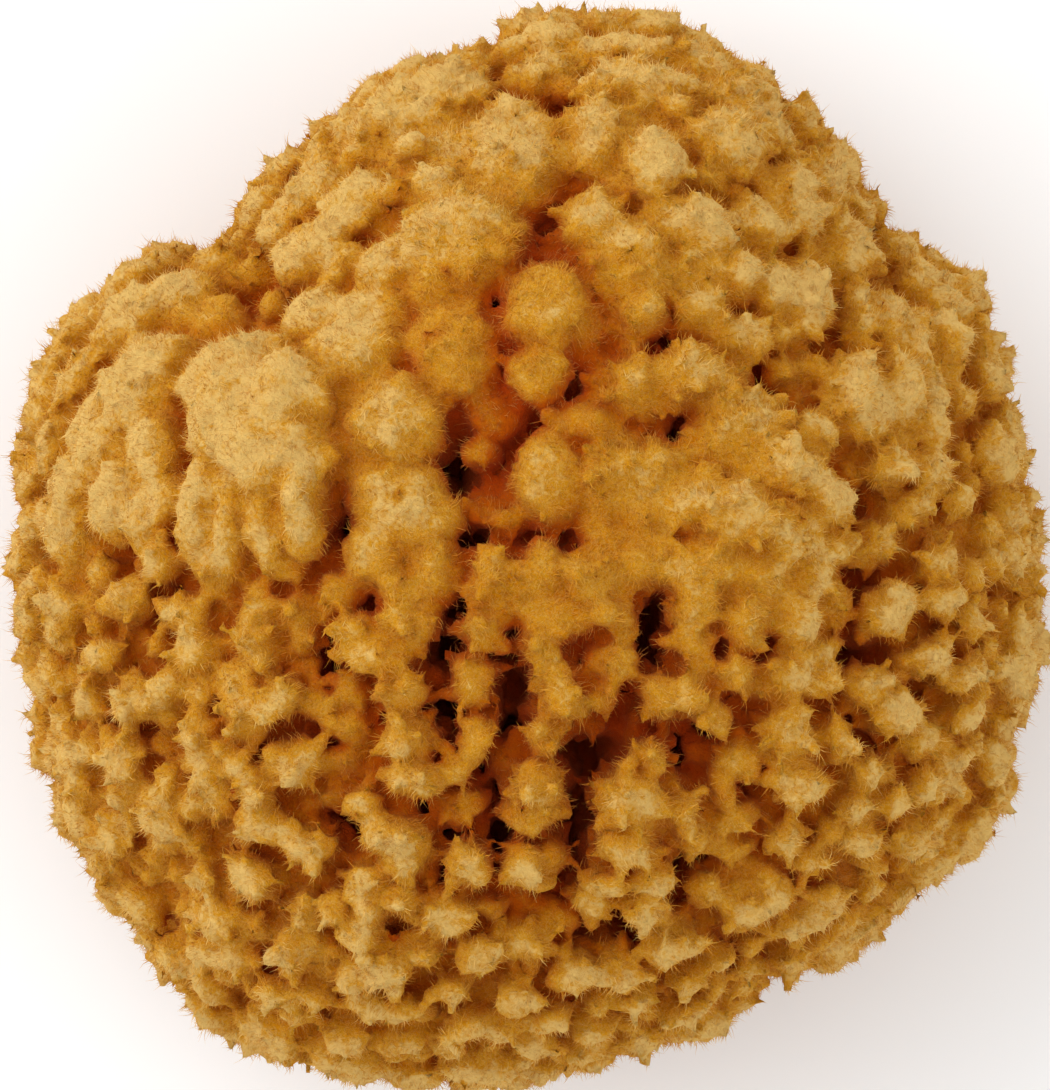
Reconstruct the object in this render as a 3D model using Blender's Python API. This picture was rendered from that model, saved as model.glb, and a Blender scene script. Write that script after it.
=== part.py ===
"""A natural wool bath sponge, dried, as it rests on the flat cut where it grew on the sea floor.

One grown piece. A lumpy dome carries several hundred rounded tufts that all grow outwards from its middle,
with furrows and pits between them. +Z is up, +Y is the top of the picture that looks down on the crown.
Sizes are in millimetres and are turned into metres when the mesh is made.
"""

import math

import bmesh
import bpy
import numpy as np

METRES = 0.001

# The whole sponge
HEIGHT = 104.0
WIDEST_LEVEL = 40.0
UNDERSIDE_DEPTH = 58.0
FULLNESS = 2.25
CROWN_SHIFT = (3.0, -12.0)
CROWN_SHIFT_BEND = 1.5
OUTLINE_SOFTENING = 3.0

# How far the rim reaches from the middle, by its angle in degrees, at each bulge and each notch
RIM = (
    (0, 79), (8, 77.5), (24, 79), (32, 79.5), (38, 74.5), (44, 75), (51, 78.5), (58, 80), (68, 82), (80, 84),
    (86, 81), (91, 81), (96, 75.5), (101, 77), (110, 74), (118, 70.5), (126, 70), (129, 67), (132, 68), (135, 63.5),
    (139, 72), (147, 76), (158, 78.5), (170, 79), (176, 77.5), (186, 79), (198, 79.5), (210, 83), (216, 82),
    (228, 85.5), (240, 87.5), (247, 85), (252, 86), (260, 83), (270, 82), (282, 79), (294, 79), (300, 75),
    (304, 78.5), (312, 80.5), (315, 78.5), (330, 83), (336, 81.5), (342, 80), (348, 81), (356, 78),
)

# The picture that the crown's places are read from
PICTURE_MIDDLE = (525, 545)
MM_PER_PIXEL = 0.1517
CAMERA_DISTANCE = 1200.0

# Broad swellings of the crown: place in the picture, radius and rise in mm
MOUNDS = (
    (290, 430, 24, 5.0),
    (430, 150, 17, 4.0),
    (700, 130, 24, 4.0),
    (760, 500, 18, 4.0),
    (540, 300, 9, 2.0),
    (640, 840, 14, 2.5),
)

# Furrows between them: half-width and depth in mm, then the points of the path in the picture
FURROWS = (
    (3.0, 6.0, ((500, 62), (540, 60), (572, 105), (560, 150), (540, 200), (530, 250))),
    (4.0, 7.0, ((530, 250), (492, 300), (500, 350), (440, 400), (430, 440), (448, 480), (466, 545))),
    (3.0, 8.0, ((466, 545), (450, 600), (443, 660), (440, 715))),
    (3.0, 5.0, ((600, 285), (603, 345), (580, 390), (520, 410), (490, 460))),
    (3.0, 6.0, ((466, 552), (515, 532), (585, 517))),
    (3.0, 5.0, ((658, 615), (650, 660), (635, 700), (595, 725), (640, 728))),
    (3.0, 5.0, ((500, 745), (490, 795), (435, 850), (430, 895))),
    (2.6, 5.0, ((500, 850), (500, 942), (597, 955), (572, 880), (592, 815), (592, 765))),
    (4.0, 5.0, ((225, 245), (185, 320), (162, 400), (160, 470))),
    (3.0, 3.5, ((110, 552), (142, 612))),
    (3.0, 5.5, ((335, 500), (315, 560), (312, 630), (322, 680), (318, 740), (330, 835))),
    (2.6, 4.5, ((675, 305), (720, 345), (775, 370), (702, 425), (690, 442))),
    (3.0, 5.0, ((850, 430), (870, 500), (868, 600), (852, 660), (882, 745))),
    (2.4, 4.0, ((400, 718), (330, 745))),
    (2.6, 4.0, ((640, 728), (720, 740), (770, 700))),
    (2.6, 4.0, ((690, 760), (755, 800), (760, 852), (700, 880), (690, 930))),
)

# Pits that go down into the sponge: place in the picture, then half-width and half-height in mm
PITS = (
    (460, 570, 1.6, 3.5), (450, 605, 1.8, 5.0), (445, 645, 1.5, 5.0), (445, 685, 1.4, 4.0), (508, 640, 2.0, 3.0),
    (510, 690, 1.4, 2.4), (508, 742, 2.2, 2.8), (655, 625, 1.6, 3.0), (650, 655, 1.5, 2.0), (592, 765, 3.8, 2.0),
    (600, 795, 1.2, 2.5), (590, 815, 1.2, 2.0), (578, 838, 1.4, 1.4), (690, 760, 1.2, 1.3), (762, 852, 2.0, 1.5),
    (332, 835, 2.3, 1.6), (430, 895, 1.4, 1.2), (500, 862, 1.2, 3.0), (500, 942, 2.0, 1.4), (597, 952, 2.0, 3.4),
    (555, 918, 1.7, 1.5), (490, 795, 1.7, 2.2), (700, 880, 1.8, 1.5), (720, 740, 1.8, 1.2), (442, 470, 1.2, 1.2),
    (585, 518, 2.0, 1.6), (598, 295, 1.2, 2.4), (675, 312, 1.6, 1.2), (775, 370, 1.2, 3.0), (690, 440, 1.4, 1.7),
    (530, 247, 1.4, 1.6), (335, 510, 1.4, 2.3), (905, 575, 2.4, 1.0), (888, 655, 3.2, 1.0), (940, 706, 1.6, 1.2),
    (325, 680, 1.8, 2.3), (265, 732, 1.5, 1.2), (310, 622, 1.2, 3.4), (352, 614, 1.0, 1.5), (428, 815, 1.5, 2.5),
    (438, 855, 1.8, 2.6), (572, 868, 1.3, 4.0), (640, 962, 1.2, 3.4), (575, 392, 1.6, 1.2), (460, 740, 1.4, 3.0),
    (545, 850, 3.0, 1.2), (360, 622, 1.0, 1.6), (870, 520, 1.4, 4.0), (140, 610, 2.2, 1.6), (425, 440, 3.0, 3.0),
)

# Lobes and tufts of the crown: place in the picture, half-width and half-height in mm, and the turn of the
# width in degrees
TOP_LEFT_LOBES = (
    (495, 140, 8.0, 11.0, 0), (400, 95, 11.0, 7.0, 20), (455, 225, 9.0, 9.0, 0), (345, 185, 6.0, 5.0, 0),
    (290, 240, 6.0, 5.0, 0), (375, 250, 5.0, 4.5, 0), (180, 262, 6.0, 4.0, 0), (110, 300, 7.0, 5.0, 40),
    (215, 280, 4.5, 5.0, 0), (295, 310, 5.0, 4.5, 0), (360, 300, 6.0, 4.5, 0), (115, 370, 9.0, 7.0, 35),
    (440, 340, 7.0, 7.5, 0), (480, 395, 5.0, 4.5, 0), (540, 300, 6.0, 7.0, 0), (585, 320, 3.3, 5.0, 0),
    (540, 365, 4.0, 4.0, 0), (540, 470, 5.0, 6.5, 0), (310, 150, 5.0, 3.5, 35), (250, 200, 4.0, 3.0, 40),
)
LEFT_CUSHION_LOBES = (
    (240, 350, 9.0, 6.0, 0), (340, 345, 7.0, 6.0, 0), (260, 420, 12.0, 9.0, 0), (370, 420, 7.5, 7.0, 0),
    (190, 510, 2.8, 7.5, 0), (222, 512, 2.6, 9.0, 0), (258, 515, 2.8, 8.0, 0), (295, 500, 2.8, 7.5, 0),
    (400, 490, 8.0, 6.0, -40), (75, 430, 6.0, 7.5, 0), (130, 440, 4.5, 7.0, 0), (50, 520, 5.0, 9.0, 0),
    (95, 500, 4.5, 5.0, 0), (145, 500, 4.0, 4.0, 0), (370, 555, 3.8, 3.8, 0), (430, 560, 3.8, 5.0, 0),
)
TOP_RIGHT_LOBES = (
    (620, 28, 9.0, 4.0, -10), (530, 42, 6.0, 5.0, 0), (600, 120, 5.0, 9.0, 0), (650, 70, 9.0, 4.5, 0),
    (720, 62, 8.0, 4.0, -30), (760, 110, 9.0, 7.5, 0), (660, 150, 4.5, 6.0, 0), (730, 140, 6.0, 5.0, 0),
    (840, 165, 5.0, 7.0, 0), (800, 190, 6.0, 6.0, 0), (590, 200, 5.0, 5.0, 0), (640, 240, 7.5, 8.0, 0),
    (700, 215, 7.0, 5.0, 0), (770, 220, 5.0, 4.5, 0), (870, 240, 6.0, 7.0, 0), (930, 268, 4.0, 5.0, 0),
    (962, 292, 4.0, 5.0, 0), (900, 300, 3.3, 7.5, 0), (870, 305, 2.6, 7.0, 0), (935, 312, 2.6, 7.0, 0),
    (965, 345, 2.6, 7.0, 0), (715, 290, 4.5, 6.0, 0), (745, 265, 3.0, 4.0, 0), (785, 275, 3.0, 4.5, 0),
    (640, 300, 4.0, 5.0, 0), (820, 290, 4.5, 7.0, 0), (755, 325, 4.0, 3.0, 0), (640, 375, 7.0, 5.0, 0),
    (700, 375, 7.5, 4.5, 0), (745, 370, 4.0, 3.0, 0), (870, 390, 5.0, 7.0, 0), (915, 375, 4.0, 6.0, 0),
    (950, 370, 3.0, 6.0, 0),
)
RIGHT_CUSHION_LOBES = (
    (585, 415, 5.0, 3.3, 0), (620, 470, 6.0, 7.0, 0), (660, 460, 6.0, 4.5, 0), (750, 430, 7.5, 7.0, 0),
    (820, 425, 3.3, 4.0, 0), (790, 465, 6.0, 4.0, 0), (830, 500, 5.0, 4.5, 0), (700, 500, 6.0, 5.0, 0),
    (745, 520, 6.0, 5.0, 0), (790, 530, 6.0, 5.0, 0), (720, 560, 6.0, 5.0, 0), (770, 570, 5.5, 5.0, 0),
    (815, 575, 5.0, 5.0, 0), (835, 535, 4.5, 4.5, 0), (640, 560, 5.5, 4.0, 0), (590, 575, 5.0, 4.5, 0),
    (700, 600, 4.0, 4.5, 0), (545, 575, 4.0, 4.5, 0), (750, 617, 4.0, 5.0, 0), (800, 615, 4.0, 5.0, 0),
    (845, 590, 3.8, 3.8, 0), (850, 622, 3.0, 2.6, 0), (660, 520, 5.0, 5.0, 0), (610, 525, 4.0, 4.0, 0),
)
RIGHT_TUFTS = (
    (950, 420, 3.0, 4.0, 0), (905, 465, 3.3, 3.3, 0), (945, 470, 3.2, 3.0, 0), (930, 505, 5.0, 2.8, 20),
    (975, 500, 3.0, 3.4, 20), (895, 542, 4.0, 3.4, 20), (955, 560, 4.4, 2.8, 20), (910, 608, 4.8, 3.2, 30),
    (958, 600, 3.4, 2.6, 20), (950, 650, 4.6, 2.8, 20), (985, 620, 3.0, 3.4, 20), (890, 684, 4.6, 2.8, 10),
    (912, 718, 4.4, 2.8, 0), (975, 678, 3.4, 1.8, 25), (940, 738, 3.2, 2.4, 20), (978, 715, 3.4, 3.0, 25),
    (835, 647, 3.0, 2.6, 0), (830, 690, 3.2, 2.4, 0), (845, 745, 2.6, 4.0, 0), (880, 775, 3.0, 2.6, 0),
    (940, 785, 3.4, 2.6, 20), (905, 812, 3.0, 2.8, 0), (862, 812, 3.0, 3.0, 0), (870, 850, 3.0, 2.8, 0),
    (920, 850, 3.4, 2.6, -20), (980, 760, 3.2, 2.6, 10),
)
MIDDLE_TUFTS = (
    (490, 582, 3.5, 5.5, 0), (480, 632, 3.0, 3.4, 0), (542, 642, 3.4, 5.5, 0), (475, 682, 3.4, 4.5, 0),
    (560, 692, 3.2, 4.0, 0), (545, 738, 3.0, 3.0, 0), (618, 660, 4.0, 3.5, 0), (602, 696, 2.6, 2.2, 0),
    (665, 692, 3.4, 4.0, 0), (700, 642, 3.0, 4.5, 0), (740, 680, 3.4, 3.0, 0), (698, 666, 2.4, 3.0, 0),
    (715, 716, 3.2, 2.4, 0), (805, 665, 4.0, 4.5, 0), (795, 735, 4.6, 4.2, 0), (748, 768, 3.5, 3.2, 0),
    (732, 797, 2.4, 3.2, 0), (805, 790, 4.0, 4.0, 0), (650, 755, 3.0, 2.4, 0), (472, 740, 2.6, 3.2, 0),
    (540, 790, 4.0, 3.4, 0), (510, 770, 3.4, 3.2, 0), (452, 815, 3.8, 3.4, 0), (452, 772, 2.3, 2.2, 0),
    (525, 820, 3.8, 3.4, 0), (640, 800, 5.2, 4.6, 0), (690, 820, 2.4, 4.0, 0), (628, 850, 4.5, 3.4, 0),
    (560, 608, 3.0, 3.0, 0), (582, 620, 2.6, 2.4, 0), (612, 616, 3.4, 2.6, 0), (515, 605, 2.2, 3.0, 0),
    (690, 700, 2.6, 2.4, 0), (770, 690, 3.0, 2.6, 0), (470, 500, 3.6, 3.2, 0), (500, 515, 3.4, 2.6, 0),
)
LOWER_LEFT_TUFTS = (
    (410, 740, 4.2, 3.8, 0), (410, 783, 4.0, 3.0, 0), (350, 735, 3.6, 3.0, 0), (335, 770, 3.0, 2.6, 0),
    (400, 692, 3.4, 3.0, 0), (430, 683, 2.2, 2.4, 0), (345, 685, 2.8, 2.8, 0), (383, 656, 4.5, 3.0, 0),
    (402, 624, 4.6, 3.6, 0), (345, 637, 3.0, 3.6, 0), (330, 597, 3.8, 3.4, 0), (395, 588, 3.2, 3.0, 0),
    (285, 620, 3.4, 5.0, 0), (245, 636, 3.6, 5.0, 0), (195, 560, 4.5, 6.0, 0), (150, 560, 3.4, 3.4, 0),
    (125, 520, 2.8, 4.5, 0), (165, 612, 4.0, 3.0, 0), (300, 708, 3.2, 2.6, 0), (285, 768, 4.4, 4.0, 0),
    (235, 715, 4.0, 5.0, 0), (230, 772, 2.2, 6.0, 35), (190, 745, 3.0, 7.0, 10), (180, 655, 4.0, 3.4, 0),
    (225, 685, 4.0, 3.0, 0), (110, 600, 4.2, 3.8, 0), (45, 620, 3.8, 5.5, 0), (95, 655, 3.2, 3.0, 0),
    (120, 700, 4.5, 3.4, 20), (155, 690, 3.0, 2.6, 0), (75, 705, 3.0, 5.0, 0), (62, 780, 3.5, 6.0, 15),
    (110, 765, 4.0, 5.0, 10), (145, 820, 4.0, 5.0, 10), (95, 850, 3.5, 5.0, 25), (210, 805, 2.8, 3.8, 0),
    (250, 830, 3.8, 3.0, 0), (300, 852, 3.8, 2.8, 0), (320, 808, 2.8, 2.6, 0), (357, 808, 2.4, 2.4, 0),
    (390, 838, 5.0, 3.0, 0), (398, 872, 3.4, 2.4, 0), (358, 884, 3.4, 2.2, 0), (422, 872, 2.4, 3.0, 0),
    (240, 880, 4.5, 3.4, 0), (190, 885, 2.2, 3.6, 0), (205, 930, 4.0, 3.0, 20), (275, 700, 3.0, 2.8, 0),
)
BOTTOM_TUFTS = (
    (470, 872, 3.2, 3.4, 0), (522, 876, 3.0, 3.6, 0), (555, 876, 2.4, 3.2, 0), (300, 920, 3.2, 3.8, 0),
    (328, 913, 2.0, 2.6, 0), (365, 912, 2.2, 2.6, 0), (395, 906, 3.0, 2.2, 0), (440, 926, 4.0, 3.6, 0),
    (357, 940, 3.0, 2.8, 0), (385, 975, 4.0, 3.4, 0), (418, 960, 3.0, 2.4, 0), (350, 990, 2.4, 3.2, 0),
    (280, 965, 3.4, 4.0, 0), (225, 970, 3.8, 5.0, 20), (270, 1004, 3.2, 2.2, 0), (305, 1012, 3.4, 2.2, 0),
    (362, 1022, 3.8, 2.2, 0), (404, 1020, 3.0, 2.2, 0), (480, 964, 3.8, 3.2, 0), (528, 964, 3.8, 3.2, 0),
    (450, 1002, 2.6, 2.6, 0), (520, 1008, 3.0, 2.6, 0), (465, 1036, 3.0, 2.6, 0), (510, 1046, 3.4, 2.8, 0),
    (340, 1052, 3.2, 2.6, 0), (490, 926, 2.4, 2.0, 0), (605, 892, 2.8, 2.4, 0), (658, 886, 3.8, 2.8, 0),
    (602, 920, 3.0, 3.0, 0), (645, 922, 2.4, 3.8, 0), (668, 934, 1.8, 2.8, 0), (560, 950, 4.3, 2.2, -20),
    (580, 992, 3.8, 2.2, 0), (630, 990, 2.8, 2.6, 0), (642, 1012, 3.0, 2.0, 0), (680, 962, 4.2, 2.8, 0),
    (702, 992, 3.4, 2.2, 0), (690, 1022, 3.8, 2.4, 0), (755, 830, 3.0, 2.0, 0), (745, 868, 4.2, 2.2, 0),
    (715, 906, 2.6, 2.4, 0), (748, 926, 3.8, 3.6, 0), (732, 966, 2.2, 2.0, 0), (782, 918, 2.4, 3.0, 0),
    (800, 945, 4.5, 2.8, 0), (840, 912, 4.2, 3.6, 0), (820, 872, 3.2, 2.8, 0), (800, 846, 3.0, 2.4, 0),
    (560, 1030, 3.2, 2.2, 0), (600, 1044, 3.4, 2.4, 0), (536, 1060, 3.2, 2.4, 0), (755, 985, 3.0, 2.4, 0),
)
CROWN_TUFTS = (
    TOP_LEFT_LOBES + LEFT_CUSHION_LOBES + TOP_RIGHT_LOBES + RIGHT_CUSHION_LOBES
    + RIGHT_TUFTS + MIDDLE_TUFTS + LOWER_LEFT_TUFTS + BOTTOM_TUFTS
)

# How every tuft grows: rings from its root to its shoulder, as a share of its length back from the tip and
# how far it has opened from its neck, then rings up its domed cap
TUFT_LENGTH = 15.0
TUFT_NECK = 0.72
TUFT_CAP = 0.42
LONGEST_CAP = 7.5
TUFT_SIDES = 10
BODY_RINGS = ((1.0, 0.0), (0.6, 0.35))
CAP_RINGS = (0.0, 0.45, 0.75, 0.93)
TUFT_SLIMNESS = 0.94
TUFT_UNEVEN = 1.6
TUFT_SWAY = 0.08
TIP_ALLOWANCE = 1.2

# Smaller tufts that fill what the named ones leave, and those of the flanks
SEED = 11
TRIES = 9000
LOWEST_LIFT = -0.75
TUFT_SIZE_SPREAD = (0.8, 1.2)
FILL_SIZE = 3.2
FILL_SPACING = 8.0
FILL_BELOW = 1.6
FLANK_START = 0.93
FLANK_SIZE = 4.8
FLANK_SPACING = 11.0
FLANK_WIDENING = (1.0, 1.5)
FLANK_SLANT = 0.5
NEIGHBOUR_SHARE = 0.78
PIT_CLEARANCE = 1.9

# The body that the tufts grow from, and the pits that open in it
CORE_DEPTH = 7.5
PIT_DEPTH = 16.0
PIT_EDGE = 1.0
PIT_SLOPE = 1.5
CORE_SUBDIVISIONS = 6
CROWN_FADE = 0.5

# How finely the dome is followed when its directions and places are worked out
DIRECTION_STEP = 0.03
STEEPEST_LIFT = 1.45
OUTERMOST_SHARE = 0.995
PLACING_ROUNDS = 40
SOFTENING_STEPS = 5

# The mesh
VOXEL = 1.5
SMOOTH_PASSES = 10
TRIANGLES = 9450
CUT_SPARE = 2.0
CUT_TOLERANCE = 1e-7

SPONGE_COLOUR = (0.46, 0.19, 0.02, 1.0)
SPONGE_ROUGHNESS = 0.95


def smooth_step(value):
    value = np.clip(value, 0.0, 1.0)
    return value * value * (3.0 - 2.0 * value)


def unit(vectors):
    return vectors / np.linalg.norm(vectors, axis=-1, keepdims=True)


def rim_reach(turn):
    """How far the rim reaches from the middle at each angle, in radians."""
    angles = [angle for angle, reach in RIM]
    reaches = [reach for angle, reach in RIM]
    spread = np.linspace(-OUTLINE_SOFTENING, OUTLINE_SOFTENING, SOFTENING_STEPS)
    return np.mean([np.interp(np.degrees(turn) + step, angles, reaches, period=360) for step in spread], axis=0)


def picture_place(px, py):
    """A place in the picture as mm from its middle."""
    x = (np.asarray(px, float) - PICTURE_MIDDLE[0]) * MM_PER_PIXEL
    y = (PICTURE_MIDDLE[1] - np.asarray(py, float)) * MM_PER_PIXEL
    return np.stack([x, y], axis=-1)


def distance_to_path(places, path):
    """The distance of each place from a path of straight stretches."""
    nearest = np.full(len(places), np.inf)
    for start, end in zip(path[:-1], path[1:]):
        along = end - start
        share = np.clip((places - start) @ along / (along @ along), 0.0, 1.0)
        gap = np.linalg.norm(places - start - share[:, None] * along, axis=1)
        nearest = np.minimum(nearest, gap)
    return nearest


def swell(places):
    """How far the crown stands above the plain dome at each place: mounds up, furrows down."""
    rise = np.zeros(len(places))
    for px, py, radius, height in MOUNDS:
        gap = np.linalg.norm(places - picture_place(px, py), axis=1)
        rise += height * smooth_step(1.0 - gap / radius)
    deepest = np.zeros(len(places))
    for half_width, depth, path in FURROWS:
        points = np.array([picture_place(px, py) for px, py in path])
        gap = distance_to_path(places, points)
        deepest = np.maximum(deepest, depth * smooth_step(1.0 - gap / (2.0 * half_width)))
    return rise - deepest


def rounding(lift):
    """How far a point of the dome is across and up, as shares, by the angle of its lift."""
    power = 2.0 / FULLNESS
    return np.abs(np.cos(lift)) ** power, np.abs(np.sin(lift)) ** power


def crown_shift(up):
    """How far the dome's axis has moved aside at each height."""
    return (up ** CROWN_SHIFT_BEND)[..., None] * np.array(CROWN_SHIFT)


def dome(turn, lift):
    """Points of the plain dome: turn is the angle round it, lift the angle above its widest level."""
    across, up = rounding(lift)
    above = lift >= 0.0
    height = np.where(above, (HEIGHT - WIDEST_LEVEL) * up, -UNDERSIDE_DEPTH * up)
    reach = rim_reach(turn) * across
    plan = np.stack([reach * np.cos(turn), reach * np.sin(turn)], axis=-1) + crown_shift(np.where(above, up, 0.0))
    return np.concatenate([plan, (WIDEST_LEVEL + height)[..., None]], axis=-1)


def dome_normal(turn, lift):
    """The outward direction of the dome, from two short steps along it."""
    lift = np.clip(lift, -STEEPEST_LIFT, STEEPEST_LIFT)
    round_it = dome(turn + DIRECTION_STEP, lift) - dome(turn - DIRECTION_STEP, lift)
    up_it = dome(turn, lift + DIRECTION_STEP) - dome(turn, lift - DIRECTION_STEP)
    return unit(np.cross(round_it, up_it))


def in_picture(points):
    """Where the camera straight above sees each point, in mm at the widest level."""
    nearer = CAMERA_DISTANCE / (CAMERA_DISTANCE - (points[:, 2] - WIDEST_LEVEL))
    return points[:, :2] * nearer[:, None]


def on_dome(places):
    """The turn and lift of the points of the dome that the picture shows at these places."""
    lift = np.full(len(places), 0.25 * math.pi)
    for _ in range(PLACING_ROUNDS):
        across, up = rounding(lift)
        nearer = CAMERA_DISTANCE / (CAMERA_DISTANCE - (HEIGHT - WIDEST_LEVEL) * up)
        from_axis = places / nearer[:, None] - crown_shift(up)
        turn = np.arctan2(from_axis[:, 1], from_axis[:, 0])
        share = np.clip(np.linalg.norm(from_axis, axis=1) / rim_reach(turn), 0.0, OUTERMOST_SHARE)
        lift = 0.5 * (lift + np.arccos(share ** (0.5 * FULLNESS)))
    return turn, lift


def surface(turn, lift):
    """Points and directions of the swollen dome, which the tips of the tufts reach."""
    points = dome(turn, lift)
    normals = dome_normal(turn, lift)
    on_crown = smooth_step(np.sin(lift) / CROWN_FADE)
    return points + normals * (swell(in_picture(points)) * on_crown)[:, None], normals


def tuft(tip, axis, side, half_width, half_height):
    """The points and faces of one rounded finger: a narrow neck that opens out, then a domed cap to the tip."""
    other = np.cross(axis, side)
    cap = min(LONGEST_CAP, TUFT_CAP * (half_width + half_height))
    rings = [(back * TUFT_LENGTH, TUFT_NECK + (1.0 - TUFT_NECK) * opened) for back, opened in BODY_RINGS]
    rings += [(cap * (1.0 - share), math.sqrt(1.0 - share * share)) for share in CAP_RINGS]
    angles = np.arange(TUFT_SIDES) * 2.0 * math.pi / TUFT_SIDES
    across = np.cos(angles)[:, None] * side * half_width + np.sin(angles)[:, None] * other * half_height
    points = [tip - axis * back + across * wide for back, wide in rings]
    points = np.concatenate(points + [[tip - axis * TUFT_LENGTH], [tip]])
    faces = []
    last = (len(rings) - 1) * TUFT_SIDES
    root = last + TUFT_SIDES
    for i in range(TUFT_SIDES):
        j = (i + 1) % TUFT_SIDES
        faces.append((j, i, root))
        faces.append((last + i, last + j, root + 1))
        for low in range(0, last, TUFT_SIDES):
            faces.append((low + i, low + j, low + TUFT_SIDES + j, low + TUFT_SIDES + i))
    return points, faces


def in_a_pit(place):
    for px, py, half_width, half_height in PITS:
        gap = (place - picture_place(px, py)) / (half_width + PIT_CLEARANCE, half_height + PIT_CLEARANCE)
        if gap @ gap < 1.0:
            return True
    return False


def filling_tufts(points, sizes, chance):
    """Tufts thrown at random on the dome, kept where they stand clear of those that are there already."""
    found = []
    for _ in range(TRIES):
        turn = chance.uniform(-math.pi, math.pi)
        lift = math.asin(chance.uniform(LOWEST_LIFT, 1.0))
        size = chance.uniform(*TUFT_SIZE_SPREAD)
        widening = chance.uniform(*FLANK_WIDENING)
        slant = chance.uniform(-FLANK_SLANT, FLANK_SLANT)
        point = dome(np.array([turn]), np.array([lift]))
        on_flank = math.cos(lift) > FLANK_START
        spacing = (FLANK_SPACING if on_flank else FILL_SPACING) * size
        half = (FLANK_SIZE if on_flank else FILL_SIZE) * size
        gaps = np.linalg.norm(points - point, axis=1)
        if np.any(gaps < 0.5 * spacing + NEIGHBOUR_SHARE * sizes):
            continue
        if not on_flank and in_a_pit(in_picture(point)[0]):
            continue
        points = np.concatenate([points, point])
        sizes = np.append(sizes, half)
        half_width = half * widening if on_flank else half
        held_back = 0.0 if on_flank else FILL_BELOW
        found.append((turn, lift, half_width, half, slant, held_back))
    return np.array(found)


def all_tufts(chance):
    """Turn, lift, half-width, half-height and held-back tip of every tuft, and the direction of its width."""
    px, py, half_width, half_height, width_turn = np.array(CROWN_TUFTS, float).T
    turn, lift = on_dome(picture_place(px, py))
    named = np.stack([turn, lift, half_width, half_height, 0.0 * turn], axis=1)
    sides = np.stack([np.cos(np.radians(width_turn)), np.sin(np.radians(width_turn)), 0.0 * turn], axis=1)
    filling = filling_tufts(dome(turn, lift), 0.5 * (half_width + half_height), chance)
    turn, slant = filling[:, 0], filling[:, 4]
    filling_sides = np.stack([-np.sin(turn), np.cos(turn), np.sin(slant)], axis=1)
    return np.concatenate([named, filling[:, [0, 1, 2, 3, 5]]]), np.concatenate([sides, filling_sides])


def tuft_meshes(chance):
    """The points and faces of all the tufts as one loose mesh."""
    tufts, widths = all_tufts(chance)
    tips, normals = surface(tufts[:, 0], tufts[:, 1])
    axes = unit(normals + chance.normal(0.0, TUFT_SWAY, normals.shape))
    widths = unit(widths - axes * np.sum(widths * axes, axis=1, keepdims=True))
    held_back = tufts[:, 4] + chance.uniform(0.0, TUFT_UNEVEN, len(tufts)) - TIP_ALLOWANCE
    tips = tips - axes * held_back[:, None]
    points = []
    faces = []
    count = 0
    for tip, axis, side, (half_width, half_height) in zip(tips, axes, widths, TUFT_SLIMNESS * tufts[:, 2:4]):
        shape, sides = tuft(tip, axis, side, half_width, half_height)
        points.append(shape)
        faces += [tuple(corner + count for corner in face) for face in sides]
        count += len(shape)
    return np.concatenate(points), faces


def core_mesh():
    """The body under the tufts: a ball of triangles moved onto the dome, less its depth and its pits."""
    ball = bmesh.new()
    bmesh.ops.create_icosphere(ball, subdivisions=CORE_SUBDIVISIONS, radius=1.0)
    directions = np.array([vertex.co for vertex in ball.verts])
    faces = [tuple(vertex.index for vertex in face.verts) for face in ball.faces]
    ball.free()
    turn = np.arctan2(directions[:, 1], directions[:, 0])
    lift = np.arcsin(np.clip(directions[:, 2], -1.0, 1.0))
    points, normals = surface(turn, lift)
    seen = in_picture(points)
    pit = np.zeros(len(points))
    for px, py, half_width, half_height in PITS:
        gap = (seen - picture_place(px, py)) / (half_width + PIT_EDGE, half_height + PIT_EDGE)
        pit = np.maximum(pit, smooth_step(PIT_SLOPE - np.linalg.norm(gap, axis=1)))
    depth = CORE_DEPTH + PIT_DEPTH * np.where(lift > 0.0, pit, 0.0)
    return points - normals * depth[:, None], faces


def object_of(skin, name):
    """A new object from a mesh that is open for editing, which is closed."""
    mesh = bpy.data.meshes.new(name)
    skin.to_mesh(mesh)
    skin.free()
    made = bpy.data.objects.new(name, mesh)
    bpy.context.scene.collection.objects.link(made)
    return made


def evaluated_mesh(made):
    """The object's mesh with its modifiers, open for editing. The object is removed."""
    skin = bmesh.new()
    skin.from_object(made, bpy.context.evaluated_depsgraph_get())
    bpy.data.objects.remove(made, do_unlink=True)
    return skin


def loose_shapes():
    """The core and all the tufts as one object, still running through each other."""
    tuft_points, tuft_faces = tuft_meshes(np.random.default_rng(SEED))
    core_points, core_faces = core_mesh()
    core_faces = [tuple(corner + len(tuft_points) for corner in face) for face in core_faces]
    mesh = bpy.data.meshes.new("loose_shapes")
    mesh.from_pydata(np.concatenate([tuft_points, core_points]) * METRES, [], tuft_faces + core_faces)
    loose = bpy.data.objects.new("loose_shapes", mesh)
    bpy.context.scene.collection.objects.link(loose)
    return loose


def joined_skin(loose):
    """One closed skin round all the overlapping shapes of the object, softened a little."""
    remesh = loose.modifiers.new("one_skin", "REMESH")
    remesh.mode = "VOXEL"
    remesh.voxel_size = VOXEL * METRES
    smooth = loose.modifiers.new("soften", "SMOOTH")
    smooth.iterations = SMOOTH_PASSES
    return evaluated_mesh(loose)


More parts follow.
